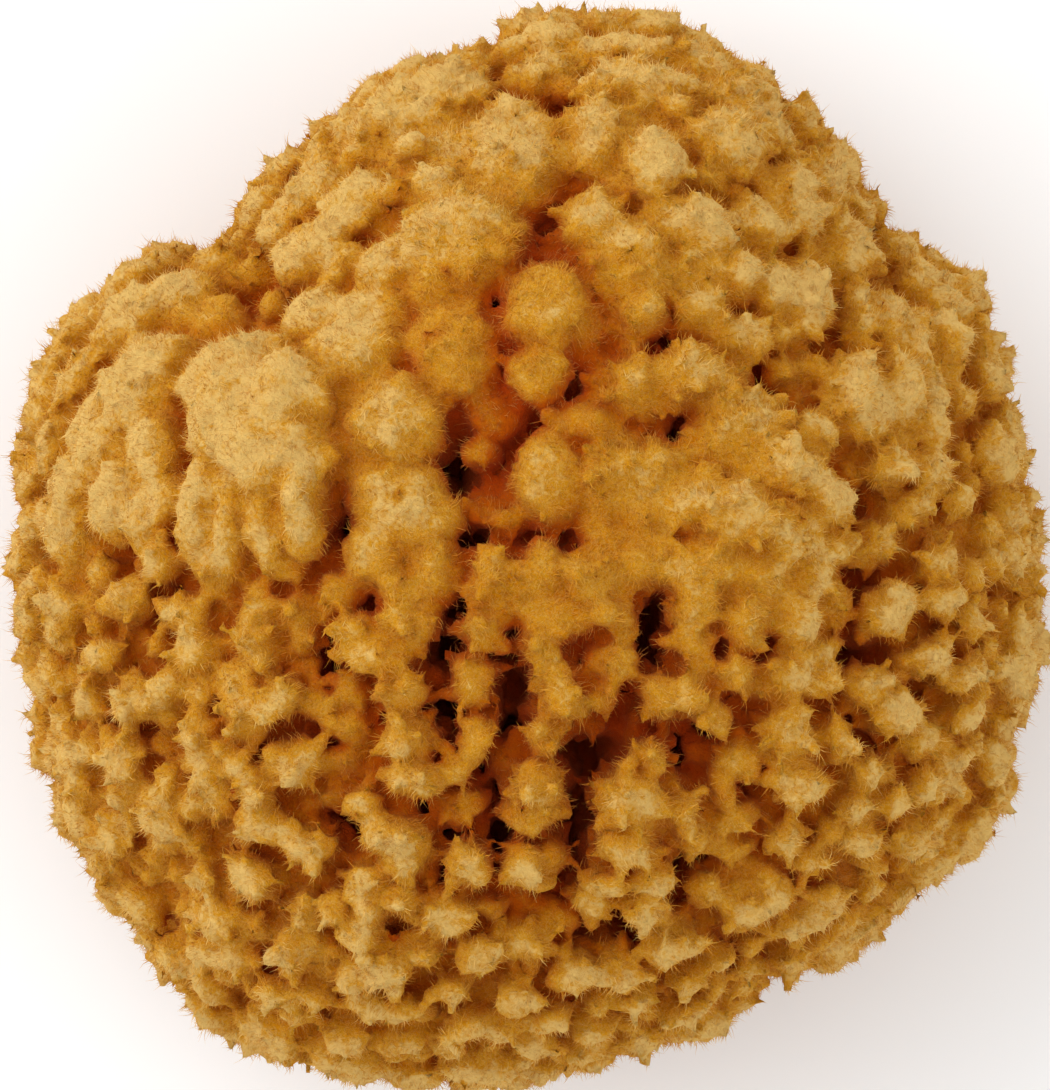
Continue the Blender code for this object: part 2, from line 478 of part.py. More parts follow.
def keep_outer_skin(skin):
    """Removes the walls of hollows that are sealed inside, and any crumb that stands apart."""
    for vertex in skin.verts:
        vertex.tag = False
    groups = []
    for first in skin.verts:
        if first.tag:
            continue
        first.tag = True
        group = [first]
        for vertex in group:
            for edge in vertex.link_edges:
                neighbour = edge.other_vert(vertex)
                if not neighbour.tag:
                    neighbour.tag = True
                    group.append(neighbour)
        groups.append(group)
    groups.sort(key=len, reverse=True)
    spare = [vertex for group in groups[1:] for vertex in group]
    bmesh.ops.delete(skin, geom=spare, context="VERTS")


def cut_level(skin, level):
    """Cuts the sponge off level at this height and closes the cut with triangles."""
    geometry = skin.verts[:] + skin.edges[:] + skin.faces[:]
    cut = dict(plane_co=(0, 0, level * METRES), plane_no=(0, 0, -1), clear_outer=True, dist=CUT_TOLERANCE)
    bmesh.ops.bisect_plane(skin, geom=geometry, **cut)
    rim = [edge for edge in skin.edges if edge.is_boundary]
    bmesh.ops.triangle_fill(skin, edges=rim, use_beauty=True)


def thin_out(skin):
    """Fewer triangles where the shape is even, by a Decimate modifier."""
    bmesh.ops.triangulate(skin, faces=skin.faces[:])
    full = object_of(skin, "full_skin")
    decimate = full.modifiers.new("thin", "DECIMATE")
    decimate.ratio = TRIANGLES / len(full.data.polygons)
    return evaluated_mesh(full)


def centre_the_box(skin):
    """Moves the origin to the middle of the sponge's box, on the flat cut."""
    places = np.array([vertex.co for vertex in skin.verts])
    middle = 0.5 * (places.min(axis=0) + places.max(axis=0))
    bmesh.ops.translate(skin, verts=skin.verts[:], vec=(-middle[0], -middle[1], 0.0))


def dry_sponge():
    material = bpy.data.materials.new("dry_sponge")
    material.use_nodes = True
    shader = material.node_tree.nodes["Principled BSDF"]
    shader.inputs["Base Color"].default_value = SPONGE_COLOUR
    shader.inputs["Roughness"].default_value = SPONGE_ROUGHNESS
    shader.inputs["Metallic"].default_value = 0.0
    return material


def build_sponge():
    skin = joined_skin(loose_shapes())
    keep_outer_skin(skin)
    cut_level(skin, -CUT_SPARE)
    skin = thin_out(skin)
    cut_level(skin, 0.0)
    keep_outer_skin(skin)
    centre_the_box(skin)
    sponge = object_of(skin, "sponge")
    sponge.data.materials.append(dry_sponge())
    sponge.data.shade_smooth()


def main():
    for old in list(bpy.data.objects):
        bpy.data.objects.remove(old, do_unlink=True)
    build_sponge()


main()
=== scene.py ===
"""Looks of a dried natural wool bath sponge, resting on the flat cut where it grew.

One knobbly skin of tufts stands for the whole sponge, and closed fibres grow out of it: short fuzz all over
and longer bent fibres that fringe the tufts. Sizes in the lists are millimetres, and places are pixels of the
picture that looks straight down on the crown. +Z is up and +Y is the top of that picture.
"""

import math

import bmesh
import bpy
import numpy as np
from bpy.props import FloatProperty, FloatVectorProperty, IntProperty, PointerProperty
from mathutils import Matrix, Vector
from mathutils.bvhtree import BVHTree


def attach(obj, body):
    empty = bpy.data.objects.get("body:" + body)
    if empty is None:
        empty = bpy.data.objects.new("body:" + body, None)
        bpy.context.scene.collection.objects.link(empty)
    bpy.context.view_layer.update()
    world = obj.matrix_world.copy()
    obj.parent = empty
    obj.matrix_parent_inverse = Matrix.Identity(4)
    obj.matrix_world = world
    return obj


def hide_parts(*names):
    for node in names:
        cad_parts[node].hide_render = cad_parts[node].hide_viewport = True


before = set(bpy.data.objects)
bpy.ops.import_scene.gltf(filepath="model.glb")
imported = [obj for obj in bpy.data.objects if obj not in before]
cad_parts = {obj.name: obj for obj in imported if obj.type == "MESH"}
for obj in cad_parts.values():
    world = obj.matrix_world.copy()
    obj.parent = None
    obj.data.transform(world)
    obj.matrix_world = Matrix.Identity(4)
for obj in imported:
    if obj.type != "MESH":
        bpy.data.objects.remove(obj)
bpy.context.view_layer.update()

bl_info = {
    "name": "Wool Sponge",
    "version": (1, 0, 0),
    "blender": (4, 5, 0),
    "location": "3D View > Sidebar > Sponge",
    "description": "Grows the wool skin and the fibres of a natural bath sponge",
    "category": "Add Mesh",
}

METRES = 0.001
SPONGE_NODE = "sponge"
SKIN = "wool_skin"

# The whole sponge
HEIGHT = 104.0
WIDEST_LEVEL = 40.0
UNDERSIDE_DEPTH = 58.0
FULLNESS = 2.25
CROWN_SHIFT = (3.0, -12.0)
CROWN_SHIFT_BEND = 1.5
OUTLINE_SOFTENING = 3.0
FULL_TURN = 360

# How far the rim reaches from the middle, by its angle in degrees, at each bulge and each notch
RIM = (
    (0, 79), (8, 77.5), (24, 79), (32, 79.5), (38, 74.5), (44, 75), (51, 78.5), (58, 80), (68, 82),
    (80, 84), (86, 81), (91, 81), (96, 75.5), (101, 77), (110, 74), (118, 70.5), (126, 70), (129, 67),
    (132, 68), (135, 63.5), (139, 72), (147, 76), (158, 78.5), (170, 79), (176, 77.5), (186, 79),
    (198, 79.5), (210, 83), (216, 82), (228, 85.5), (240, 87.5), (247, 85), (252, 86), (260, 83), (270, 82),
    (282, 79), (294, 79), (300, 75), (304, 78.5), (312, 80.5), (315, 78.5), (330, 83), (336, 81.5),
    (342, 80), (348, 81), (356, 78),
)

# The picture that the crown's places are read from
PICTURE_MIDDLE = (525, 545)
MM_PER_PIXEL = 0.1517
CAMERA_DISTANCE = 1200.0

# Broad swellings of the crown: place in the picture, radius and rise in mm
MOUNDS = (
    (290, 430, 24, 5.0),
    (430, 150, 17, 4.0),
    (700, 130, 24, 4.0),
    (760, 500, 18, 4.0),
    (540, 300, 9, 2.0),
    (640, 840, 14, 2.5),
)

# Furrows between them: half-width and depth in mm, then the points of the path in the picture
FURROWS = (
    (3.0, 6.0, ((500, 62), (540, 60), (572, 105), (560, 150), (540, 200), (530, 250))),
    (4.0, 7.0, ((530, 250), (492, 300), (500, 350), (440, 400), (430, 440), (448, 480), (466, 545))),
    (3.0, 8.0, ((466, 545), (450, 600), (443, 660), (440, 715))),
    (3.0, 5.0, ((600, 285), (603, 345), (580, 390), (520, 410), (490, 460))),
    (3.0, 6.0, ((466, 552), (515, 532), (585, 517))),
    (3.0, 5.0, ((658, 615), (650, 660), (635, 700), (595, 725), (640, 728))),
    (3.0, 5.0, ((500, 745), (490, 795), (435, 850), (430, 895))),
    (2.6, 5.0, ((500, 850), (500, 942), (597, 955), (572, 880), (592, 815), (592, 765))),
    (4.0, 5.0, ((225, 245), (185, 320), (162, 400), (160, 470))),
    (3.0, 3.5, ((110, 552), (142, 612))),
    (3.0, 5.5, ((335, 500), (315, 560), (312, 630), (322, 680), (318, 740), (330, 835))),
    (2.6, 4.5, ((675, 305), (720, 345), (775, 370), (702, 425), (690, 442))),
    (3.0, 5.0, ((850, 430), (870, 500), (868, 600), (852, 660), (882, 745))),
    (2.4, 4.0, ((400, 718), (330, 745))),
    (2.6, 4.0, ((640, 728), (720, 740), (770, 700))),
    (2.6, 4.0, ((690, 760), (755, 800), (760, 852), (700, 880), (690, 930))),
)

# Pits that go down into the sponge: place in the picture, then half-width and half-height in mm
PITS = (
    (460, 570, 1.6, 3.5), (450, 605, 1.8, 5), (445, 645, 1.5, 5), (445, 685, 1.4, 4), (508, 640, 2, 3),
    (510, 690, 1.4, 2.4), (508, 742, 2.2, 2.8), (655, 625, 1.6, 3), (650, 655, 1.5, 2), (592, 765, 3.8, 2),
    (600, 795, 1.2, 2.5), (590, 815, 1.2, 2), (578, 838, 1.4, 1.4), (690, 760, 1.2, 1.3),
    (762, 852, 2, 1.5), (332, 835, 2.3, 1.6), (430, 895, 1.4, 1.2), (500, 862, 1.2, 3), (500, 942, 2, 1.4),
    (597, 952, 2, 3.4), (555, 918, 1.7, 1.5), (490, 795, 1.7, 2.2), (700, 880, 1.8, 1.5),
    (720, 740, 1.8, 1.2), (442, 470, 1.2, 1.2), (585, 518, 2, 1.6), (598, 295, 1.2, 2.4),
    (675, 312, 1.6, 1.2), (775, 370, 1.2, 3), (690, 440, 1.4, 1.7), (530, 247, 1.4, 1.6),
    (335, 510, 1.4, 2.3), (905, 575, 2.4, 1), (888, 655, 3.2, 1), (940, 706, 1.6, 1.2),
    (325, 680, 1.8, 2.3), (265, 732, 1.5, 1.2), (310, 622, 1.2, 3.4), (352, 614, 1, 1.5),
    (428, 815, 1.5, 2.5), (438, 855, 1.8, 2.6), (572, 868, 1.3, 4), (640, 962, 1.2, 3.4),
    (575, 392, 1.6, 1.2), (460, 740, 1.4, 3), (545, 850, 3, 1.2), (360, 622, 1, 1.6), (870, 520, 1.4, 4),
    (140, 610, 2.2, 1.6), (425, 440, 3, 3),
)

# Lobes and tufts of the crown: place in the picture, half-width and half-height in mm, and where the width is
# turned, its turn in degrees
TOP_LEFT_LOBES = (
    (495, 140, 8, 11), (400, 95, 11, 7, 20), (455, 225, 9, 9), (345, 185, 6, 5), (290, 240, 6, 5),
    (375, 250, 5, 4.5), (180, 262, 6, 4), (110, 300, 7, 5, 40), (215, 280, 4.5, 5), (295, 310, 5, 4.5),
    (360, 300, 6, 4.5), (115, 370, 9, 7, 35), (440, 340, 7, 7.5), (480, 395, 5, 4.5), (540, 300, 6, 7),
    (585, 320, 3.3, 5), (540, 365, 4, 4), (540, 470, 5, 6.5), (310, 150, 5, 3.5, 35), (250, 200, 4, 3, 40),
)
LEFT_CUSHION_LOBES = (
    (240, 350, 9, 6), (340, 345, 7, 6), (235, 408, 7, 7.5), (370, 420, 7.5, 7), (285, 398, 7, 6.5),
    (268, 446, 7.5, 6), (190, 510, 2.8, 7.5), (222, 512, 2.6, 9), (258, 515, 2.8, 8), (295, 500, 2.8, 7.5),
    (400, 490, 8, 6, -40), (75, 430, 6, 7.5), (130, 440, 4.5, 7), (50, 520, 5, 9), (95, 500, 4.5, 5),
    (145, 500, 4, 4), (370, 555, 3.8, 3.8), (430, 560, 3.8, 5),
)
TOP_RIGHT_LOBES = (
    (620, 28, 9, 4, -10), (530, 42, 6, 5), (600, 120, 5, 9), (650, 70, 9, 4.5), (720, 62, 8, 4, -30),
    (760, 110, 9, 7.5), (660, 150, 4.5, 6), (730, 140, 6, 5), (840, 165, 5, 7), (800, 190, 6, 6),
    (590, 200, 5, 5), (640, 240, 7.5, 8), (700, 215, 7, 5), (770, 220, 5, 4.5), (870, 240, 6, 7),
    (930, 268, 4, 5), (962, 292, 4, 5), (900, 300, 3.3, 7.5), (870, 305, 2.6, 7), (935, 312, 2.6, 7),
    (965, 345, 2.6, 7), (715, 290, 4.5, 6), (745, 265, 3, 4), (785, 275, 3, 4.5), (640, 300, 4, 5),
    (820, 290, 4.5, 7), (755, 325, 4, 3), (640, 375, 7, 5), (700, 375, 7.5, 4.5), (745, 370, 4, 3),
    (870, 390, 5, 7), (915, 375, 4, 6), (950, 370, 3, 6),
)
RIGHT_CUSHION_LOBES = (
    (585, 415, 5, 3.3), (620, 470, 6, 7), (660, 460, 6, 4.5), (750, 430, 7.5, 7), (820, 425, 3.3, 4),
    (790, 465, 6, 4), (830, 500, 5, 4.5), (700, 500, 6, 5), (745, 520, 6, 5), (790, 530, 6, 5),
    (720, 560, 6, 5), (770, 570, 5.5, 5), (815, 575, 5, 5), (835, 535, 4.5, 4.5), (640, 560, 5.5, 4),
    (590, 575, 5, 4.5), (700, 600, 4, 4.5), (545, 575, 4, 4.5), (750, 617, 4, 5), (800, 615, 4, 5),
    (845, 590, 3.8, 3.8), (850, 622, 3, 2.6), (660, 520, 5, 5), (610, 525, 4, 4),
)
RIGHT_TUFTS = (
    (950, 420, 3, 4), (905, 465, 3.3, 3.3), (945, 470, 3.2, 3), (930, 505, 5, 2.8, 20),
    (975, 500, 3, 3.4, 20), (895, 542, 4, 3.4, 20), (955, 560, 4.4, 2.8, 20), (910, 608, 4.8, 3.2, 30),
    (958, 600, 3.4, 2.6, 20), (950, 650, 4.6, 2.8, 20), (985, 620, 3, 3.4, 20), (890, 684, 4.6, 2.8, 10),
    (912, 718, 4.4, 2.8), (975, 678, 3.4, 1.8, 25), (940, 738, 3.2, 2.4, 20), (978, 715, 3.4, 3, 25),
    (835, 647, 3, 2.6), (830, 690, 3.2, 2.4), (845, 745, 2.6, 4), (880, 775, 3, 2.6),
    (940, 785, 3.4, 2.6, 20), (905, 812, 3, 2.8), (862, 812, 3, 3), (870, 850, 3, 2.8),
    (920, 850, 3.4, 2.6, -20), (980, 760, 3.2, 2.6, 10),
)
MIDDLE_TUFTS = (
    (490, 582, 3.5, 5.5), (480, 632, 3, 3.4), (542, 642, 3.4, 5.5), (475, 682, 3.4, 4.5),
    (560, 692, 3.2, 4), (545, 738, 3, 3), (618, 660, 4, 3.5), (602, 696, 2.6, 2.2), (665, 692, 3.4, 4),
    (700, 642, 3, 4.5), (740, 680, 3.4, 3), (698, 666, 2.4, 3), (715, 716, 3.2, 2.4), (805, 665, 4, 4.5),
    (795, 735, 4.6, 4.2), (748, 768, 3.5, 3.2), (732, 797, 2.4, 3.2), (805, 790, 4, 4), (650, 755, 3, 2.4),
    (472, 740, 2.6, 3.2), (540, 790, 4, 3.4), (510, 770, 3.4, 3.2), (452, 815, 3.8, 3.4),
    (452, 772, 2.3, 2.2), (525, 820, 3.8, 3.4), (640, 800, 5.2, 4.6), (690, 820, 2.4, 4),
    (628, 850, 4.5, 3.4), (560, 608, 3, 3), (582, 620, 2.6, 2.4), (612, 616, 3.4, 2.6), (515, 605, 2.2, 3),
    (690, 700, 2.6, 2.4), (770, 690, 3, 2.6), (470, 500, 3.6, 3.2), (500, 515, 3.4, 2.6),
)
LOWER_LEFT_TUFTS = (
    (410, 740, 4.2, 3.8), (410, 783, 4, 3), (350, 735, 3.6, 3), (335, 770, 3, 2.6), (400, 692, 3.4, 3),
    (430, 683, 2.2, 2.4), (345, 685, 2.8, 2.8), (383, 656, 4.5, 3), (402, 624, 4.6, 3.6),
    (345, 637, 3, 3.6), (330, 597, 3.8, 3.4), (395, 588, 3.2, 3), (285, 620, 3.4, 5), (245, 636, 3.6, 5),
    (195, 560, 4.5, 6), (150, 560, 3.4, 3.4), (125, 520, 2.8, 4.5), (165, 612, 4, 3), (300, 708, 3.2, 2.6),
    (285, 768, 4.4, 4), (235, 715, 4, 5), (230, 772, 2.2, 6, 35), (190, 745, 3, 7, 10), (180, 655, 4, 3.4),
    (225, 685, 4, 3), (110, 600, 4.2, 3.8), (45, 620, 3.8, 5.5), (95, 655, 3.2, 3),
    (120, 700, 4.5, 3.4, 20), (155, 690, 3, 2.6), (75, 705, 3, 5), (62, 780, 3.5, 6, 15),
    (110, 765, 4, 5, 10), (145, 820, 4, 5, 10), (95, 850, 3.5, 5, 25), (210, 805, 2.8, 3.8),
    (250, 830, 3.8, 3), (300, 852, 3.8, 2.8), (320, 808, 2.8, 2.6), (357, 808, 2.4, 2.4), (390, 838, 5, 3),
    (398, 872, 3.4, 2.4), (358, 884, 3.4, 2.2), (422, 872, 2.4, 3), (240, 880, 4.5, 3.4),
    (190, 885, 2.2, 3.6), (205, 930, 4, 3, 20), (275, 700, 3, 2.8),
)
BOTTOM_TUFTS = (
    (470, 872, 3.2, 3.4), (522, 876, 3, 3.6), (555, 876, 2.4, 3.2), (300, 920, 3.2, 3.8),
    (328, 913, 2, 2.6), (365, 912, 2.2, 2.6), (395, 906, 3, 2.2), (440, 926, 4, 3.6), (357, 940, 3, 2.8),
    (385, 975, 4, 3.4), (418, 960, 3, 2.4), (350, 990, 2.4, 3.2), (280, 965, 3.4, 4),
    (225, 970, 3.8, 5, 20), (270, 1004, 3.2, 2.2), (305, 1012, 3.4, 2.2), (362, 1022, 3.8, 2.2),
    (404, 1020, 3, 2.2), (480, 964, 3.8, 3.2), (528, 964, 3.8, 3.2), (450, 1002, 2.6, 2.6),
    (520, 1008, 3, 2.6), (465, 1036, 3, 2.6), (510, 1046, 3.4, 2.8), (340, 1052, 3.2, 2.6),
    (490, 926, 2.4, 2), (605, 892, 2.8, 2.4), (658, 886, 3.8, 2.8), (602, 920, 3, 3), (645, 922, 2.4, 3.8),
    (668, 934, 1.8, 2.8), (560, 950, 4.3, 2.2, -20), (580, 992, 3.8, 2.2), (630, 990, 2.8, 2.6),
    (642, 1012, 3, 2), (680, 962, 4.2, 2.8), (702, 992, 3.4, 2.2), (690, 1022, 3.8, 2.4), (755, 830, 3, 2),
    (745, 868, 4.2, 2.2), (715, 906, 2.6, 2.4), (748, 926, 3.8, 3.6), (732, 966, 2.2, 2),
    (782, 918, 2.4, 3), (800, 945, 4.5, 2.8), (840, 912, 4.2, 3.6), (820, 872, 3.2, 2.8),
    (800, 846, 3, 2.4), (560, 1030, 3.2, 2.2), (600, 1044, 3.4, 2.4), (536, 1060, 3.2, 2.4),
    (755, 985, 3, 2.4),
)

# How ragged each of these groups is, from smooth cushions to tufts of pointed knobs, and how stout
CROWN_GROUPS = (
    (TOP_LEFT_LOBES, 0.4, 1.2), (LEFT_CUSHION_LOBES, 0.33, 1.2), (TOP_RIGHT_LOBES, 0.65, 1.12),
    (RIGHT_CUSHION_LOBES, 0.65, 1.08), (RIGHT_TUFTS, 0.85, 1.04), (MIDDLE_TUFTS, 1.0, 0.95),
    (LOWER_LEFT_TUFTS, 0.95, 1.0), (BOTTOM_TUFTS, 0.95, 1.0),
)
CROWN_COLUMNS = 7
FILL_RAGGED = 0.66

# How every tuft grows: rings from its root to its shoulder, as a share of its length back from the tip and
# how far it has opened from its neck, then rings up its domed cap
TUFT_LENGTH = 15.0
TUFT_NECK = 0.85
TUFT_CAP = 0.42
LONGEST_CAP = 7.5
TUFT_SIDES = 12
BODY_RINGS = ((1.0, 0.0), (0.6, 0.35))
CAP_RINGS = (0.0, 0.3, 0.55, 0.75, 0.9)
TUFT_UNEVEN = 2.0
TUFT_SWAY = 0.08
TIP_SPARE = -0.4

# Smaller tufts that fill what the named ones leave, and those of the flanks
SEED = 11
TRIES = 9000
LOWEST_LIFT = -0.75
TUFT_SIZE_SPREAD = (0.8, 1.2)
FILL_SIZE = 2.6
FILL_SPACING = 5.8
FILL_BELOW = 2.2
FLANK_START = 0.93
FLANK_SIZE = 4.0
FLANK_SPACING = 8.2
FLANK_WIDENING = (1.0, 1.5)
FLANK_SLANT = 0.5
NEIGHBOUR_SHARE = 0.78
PIT_CLEARANCE = 1.9

# The body that the tufts grow from, and the pits that open in it
CORE_DEPTH = 6.0
PIT_DEPTH = 12.0
PIT_EDGE = 1.0
PIT_SLOPE = 1.5
CORE_SUBDIVISIONS = 7
CROWN_FADE = 0.5

# How finely the dome is followed when its directions and places are worked out
DIRECTION_STEP = 0.03
STEEPEST_LIFT = 1.45
OUTERMOST_SHARE = 0.995
FIRST_LIFT = 0.25 * math.pi
PLACING_ROUNDS = 40
SOFTENING_STEPS = 5
LEAST_SHARE = 0.05

# Knobs on the tufts
GIRTH_OF_A_USUAL_TUFT = 4.0
KNOB_GROWTH = 0.5
KNOB_SPREAD = 0.35
KNOB_SIDES = 8
KNOB_TIP = 0.3
KNOB_HEIGHT = 2.25
KNOB_SUNK = 0.6
KNOB_LEAN = 0.35
KNOBBY_FROM_NECK = 3.0

# The skin's mesh
SOFTENING_PASSES = 2
GRAIN_DETAIL = 1.0
SWIRL_DETAIL = 3.0
SKIN_TRIANGLES = 192000
CUT_SPARE = 2.0
CUT_TOLERANCE = 1e-7

# Where the skin lies hollow: how much of the sky is hidden, and how deep it lies under the tips in mm
# How hollow the skin lies paints shade into the wool's colour and thins the fibres there
SKY_RAYS = 20
SKY_REACH = 14.0
SKIN_GAP = 0.15
NEARLY_UPRIGHT = 0.9
SHALLOW = 2.0
DEEP = 16.0
HIDDEN_WEIGHT = 0.75
DEPTH_WEIGHT = 0.45
BARE_HOLLOW = 0.6
HOLLOW_PASSES = 2
# Painted shade over the middle of the crown and a smaller patch above it in the picture: place, reach in mm
# and strength, then the shade it adds and how far it deepens the hollows there
DARKER_PARTS = ((545, 610, 64.0, 1.0), (525, 350, 33.0, 1.9))
PART_PAINTED_SHADE = 0.045
PART_DEEPENING = 0.5
# Painted light: how much paler the crown is made outside the darker parts
CROWN_PAINTED_LIGHT = 0.035
CROWN_RISE = 12.0
UPWARD_THINNESS = 0.15
FLANK_THINNESS = 0.4
FLOOR_CLEARANCE = 0.1

# Fibres
LEAST_LEVEL = 0.05
HEART_OF_THE_SPONGE = (0.0, -0.008, 0.030)
FIBRE_SPREAD = 0.45
ROOT_SHARE = 0.06
FLAT_SIDE_TURN = 30.0
FLATNESS = 0.6
CLUMP_OF_FIBRES = 1.7
CLUMP_NOISE_DETAIL = 1.0
CLUMP_NOISE = (0.35, 0.65)
CLUMP_LENGTHS = (0.55, 1.5)
FUZZ_PIECES = 2
FRINGE_PIECES = 2
FRINGE_SEED = 31
FIBRE_SIDES = 3
FUZZ_STRETCHES = 1
FRINGE_STRETCHES = 2
LENGTH_SEED = 2.0
TONE_SEED = 3.0

# Fibres of one lock lie one way. How far they are combed, lean at random, splay outwards and bend
LOCK_SIZE = 3.5
LOCK_DETAIL = 1.0
FUZZ_HABIT = {"Comb": 6.0, "Lean": 0.6, "Splay": 0.2, "Bend": 0.0}
FRINGE_HABIT = {"Comb": 4.0, "Lean": 0.55, "Splay": 0.3, "Bend": 10.0}

# Noise goes from 0 to 1: its middle, and what spreads it from -1 to 1
MIDDLE = 0.5
SPREAD = 2.0

# What the attributes are called
KNOBBLY = "knobbly"
GIRTH = "girth"
HOLLOW_SHADE = "hollow"
SHOWN = "shown"
ALONG = "along"
TONE = "tone"

# The wool's colours lie at these steps of how hollow a place is: painted shade, paler on the open tips and
# darker and redder down in the hollows
TIP_HOLLOW = 0.0
WOOL_HOLLOW = 0.09
FOLD_HOLLOW = 0.24
DEEP_HOLLOW = 0.48
PIT_HOLLOW = 0.85

# Sizes in mm of the patterns in the felt, and how far each shifts the colour
FLUFF_SIZE = 1.1
FLUFF_DETAIL = 3.0
FLUFF_CURL = 0.8
# Painted shade: the flocks that lift the bump are also painted paler on their tops and darker between them
FLUFF_SHADE = 0.28
FLUFF_STRENGTH = 0.55
FLUFF_DEPTH = 0.7
CLUMP_SIZE = 3.5
CLUMP_DETAIL = 2.0
CLUMP_CONTRAST = 0.22
PATCH_SIZE = 30.0
PATCH_DETAIL = 1.0
PATCH_CONTRAST = 0.10
TONE_CONTRAST = 0.12
TIP_PALENESS = 0.45
FELT_SIZE = 0.5
FELT_DETAIL = 3.0
FELT_STRENGTH = 0.9
FELT_DEPTH = 0.3
FELT_CURL = 2.5
THREAD_SPACING = 0.9
THREAD_DETAIL = 1.0
THREAD_CURL = 2.0
THREAD_FINENESS = 12.0
THREAD_PALENESS = 0.45
THREAD_FADE = 2.0
WOOL_FINISH = {
    "Roughness": 0.95, "Specular IOR Level": 0.02, "Sheen Weight": 0.08, "Sheen Roughness": 0.5,
    "Sheen Tint": (1.0, 0.75, 0.35, 1.0),
}

# Studio
PICTURE_HEIGHT = 1090
SENSOR = 36.0
FLOOR_SIZE = 6.0
PAPER_ROUGHNESS = 0.9
SKY_COLOUR = (1.0, 1.0, 1.0, 1.0)
KEY_PLACE = (-1.02, 0.64, 0.90)
KEY_SIZE = 1.9
FILL_LIGHT_PLACE = (0.9, -0.5, 1.0)
FILL_LIGHT_SIZE = 1.2


def length_property(name, description, default, least=0.0):
    return FloatProperty(
        name=name, description=description, default=default, min=least, unit="LENGTH", precision=5,
    )


def colour_property(name, description, default):
    return FloatVectorProperty(
        name=name, description=description, default=default, subtype="COLOR", min=0.0, max=1.0,
    )


def count_property(name, description, default):
    return IntProperty(name=name, description=description, default=default, min=0)


def light_property(name, description, default, unit="POWER"):
    return FloatProperty(name=name, description=description, default=default, unit=unit)


class SpongeShape(bpy.types.PropertyGroup):
    """Sizes of the wool skin."""
    knob_size: length_property("Knob Size", "Radius of the little knobs on a tuft 10 mm across", 0.00135)
    knob_spacing: length_property("Knob Spacing", "Least distance between two knobs", 0.0022, 0.0005)
    grain: length_property("Grain", "Size of the finest lumps in the surface", 0.0010, 0.0002)
    grain_height: length_property("Grain Height", "How far the finest lumps stand out", 0.00038)
    swirl: length_property("Swirl", "Size of the uneven swellings in the tufts", 0.0050, 0.0005)
    swirl_height: length_property("Swirl Height", "How far those swellings stand out", 0.0024)
    fineness: length_property("Fineness", "Size of the skin's mesh before it is thinned", 0.00065, 0.0004)


class SpongeFibres(bpy.types.PropertyGroup):
    """Sizes and numbers of the fibres."""
    fuzz_length: length_property("Fuzz Length", "Length of the short fuzz", 0.0010)
    fuzz_thickness: length_property("Fuzz Thickness", "Radius of the short fuzz at its root", 0.00009)
    fuzz_count: count_property("Fuzz Count", "Number of short fibres in each piece", 48500)
    fringe_length: length_property("Fringe Length", "Length of the long fibres", 0.0014)
    fringe_thickness: length_property("Fringe Thickness", "Radius of the long fibres at their root", 0.00008)
    fringe_count: count_property("Fringe Count", "Number of long fibres in each piece", 19300)


class SpongeColours(bpy.types.PropertyGroup):
    """Colours of the wool, from its tips down to its pits; the fold, deep and pit colours are painted shade
    for the hollows.
    """
    tip: colour_property("Tip", "Dry pale tips", (0.72, 0.45, 0.13))
    wool: colour_property("Wool", "Golden wool", (0.61, 0.268, 0.010))
    # Painted shade: these three colours darken the wool in the hollows, and their red stands in for light
    # scattered through the wool
    fold_shade: colour_property("Fold", "Orange brown of the folds", (0.53, 0.183, 0.002))
    deep_shade: colour_property("Deep", "Red brown between the tufts", (0.44, 0.082, 0.001))
    pit: colour_property("Pit", "Dark red brown bottom of the pits", (0.40, 0.042, 0.002))


class SpongeStudio(bpy.types.PropertyGroup):
    """Light and background."""
    floor_colour: colour_property("Floor", "Plain floor", (0.99, 0.99, 0.99))
    key_power: light_property("Key Light", "Power of the main light", 16.0)
    fill_power: light_property("Fill Light", "Power of the second light", 2.5)
    sky: light_property("Sky", "Strength of the even light from all round", 0.86, "NONE")


def smooth_step(value):
    value = np.clip(value, 0.0, 1.0)
    return value * value * (3.0 - 2.0 * value)


def unit(vectors):
    return vectors / np.linalg.norm(vectors, axis=-1, keepdims=True)


def rim_reach(turn):
    """How far the rim reaches from the middle at each angle, in radians."""
    angles = [angle for angle, reach in RIM]
    reaches = [reach for angle, reach in RIM]
    steps = np.linspace(-OUTLINE_SOFTENING, OUTLINE_SOFTENING, SOFTENING_STEPS)
    turned = np.degrees(turn)
    return np.mean([np.interp(turned + step, angles, reaches, period=FULL_TURN) for step in steps], axis=0)


def picture_place(px, py):
    """A place in the picture as mm from its middle."""
    x = (np.asarray(px, float) - PICTURE_MIDDLE[0]) * MM_PER_PIXEL
    y = (PICTURE_MIDDLE[1] - np.asarray(py, float)) * MM_PER_PIXEL
    return np.stack([x, y], axis=-1)


def distance_to_path(places, path):
    """The distance of each place from a path of straight stretches."""
    nearest = np.full(len(places), np.inf)
    for start, end in zip(path[:-1], path[1:]):
        along = end - start
        share = np.clip((places - start) @ along / (along @ along), 0.0, 1.0)
        gap = np.linalg.norm(places - start - share[:, None] * along, axis=1)
        nearest = np.minimum(nearest, gap)
    return nearest


def swell(places):
    """How far the crown stands above the plain dome at each place: mounds up, furrows down."""
    rise = np.zeros(len(places))
    for px, py, radius, height in MOUNDS:
        gap = np.linalg.norm(places - picture_place(px, py), axis=1)
        rise += height * smooth_step(1.0 - gap / radius)
    deepest = np.zeros(len(places))
    for half_width, depth, path in FURROWS:
        points = np.array([picture_place(px, py) for px, py in path])
        gap = distance_to_path(places, points)
        deepest = np.maximum(deepest, depth * smooth_step(1.0 - gap / (2.0 * half_width)))
    return rise - deepest


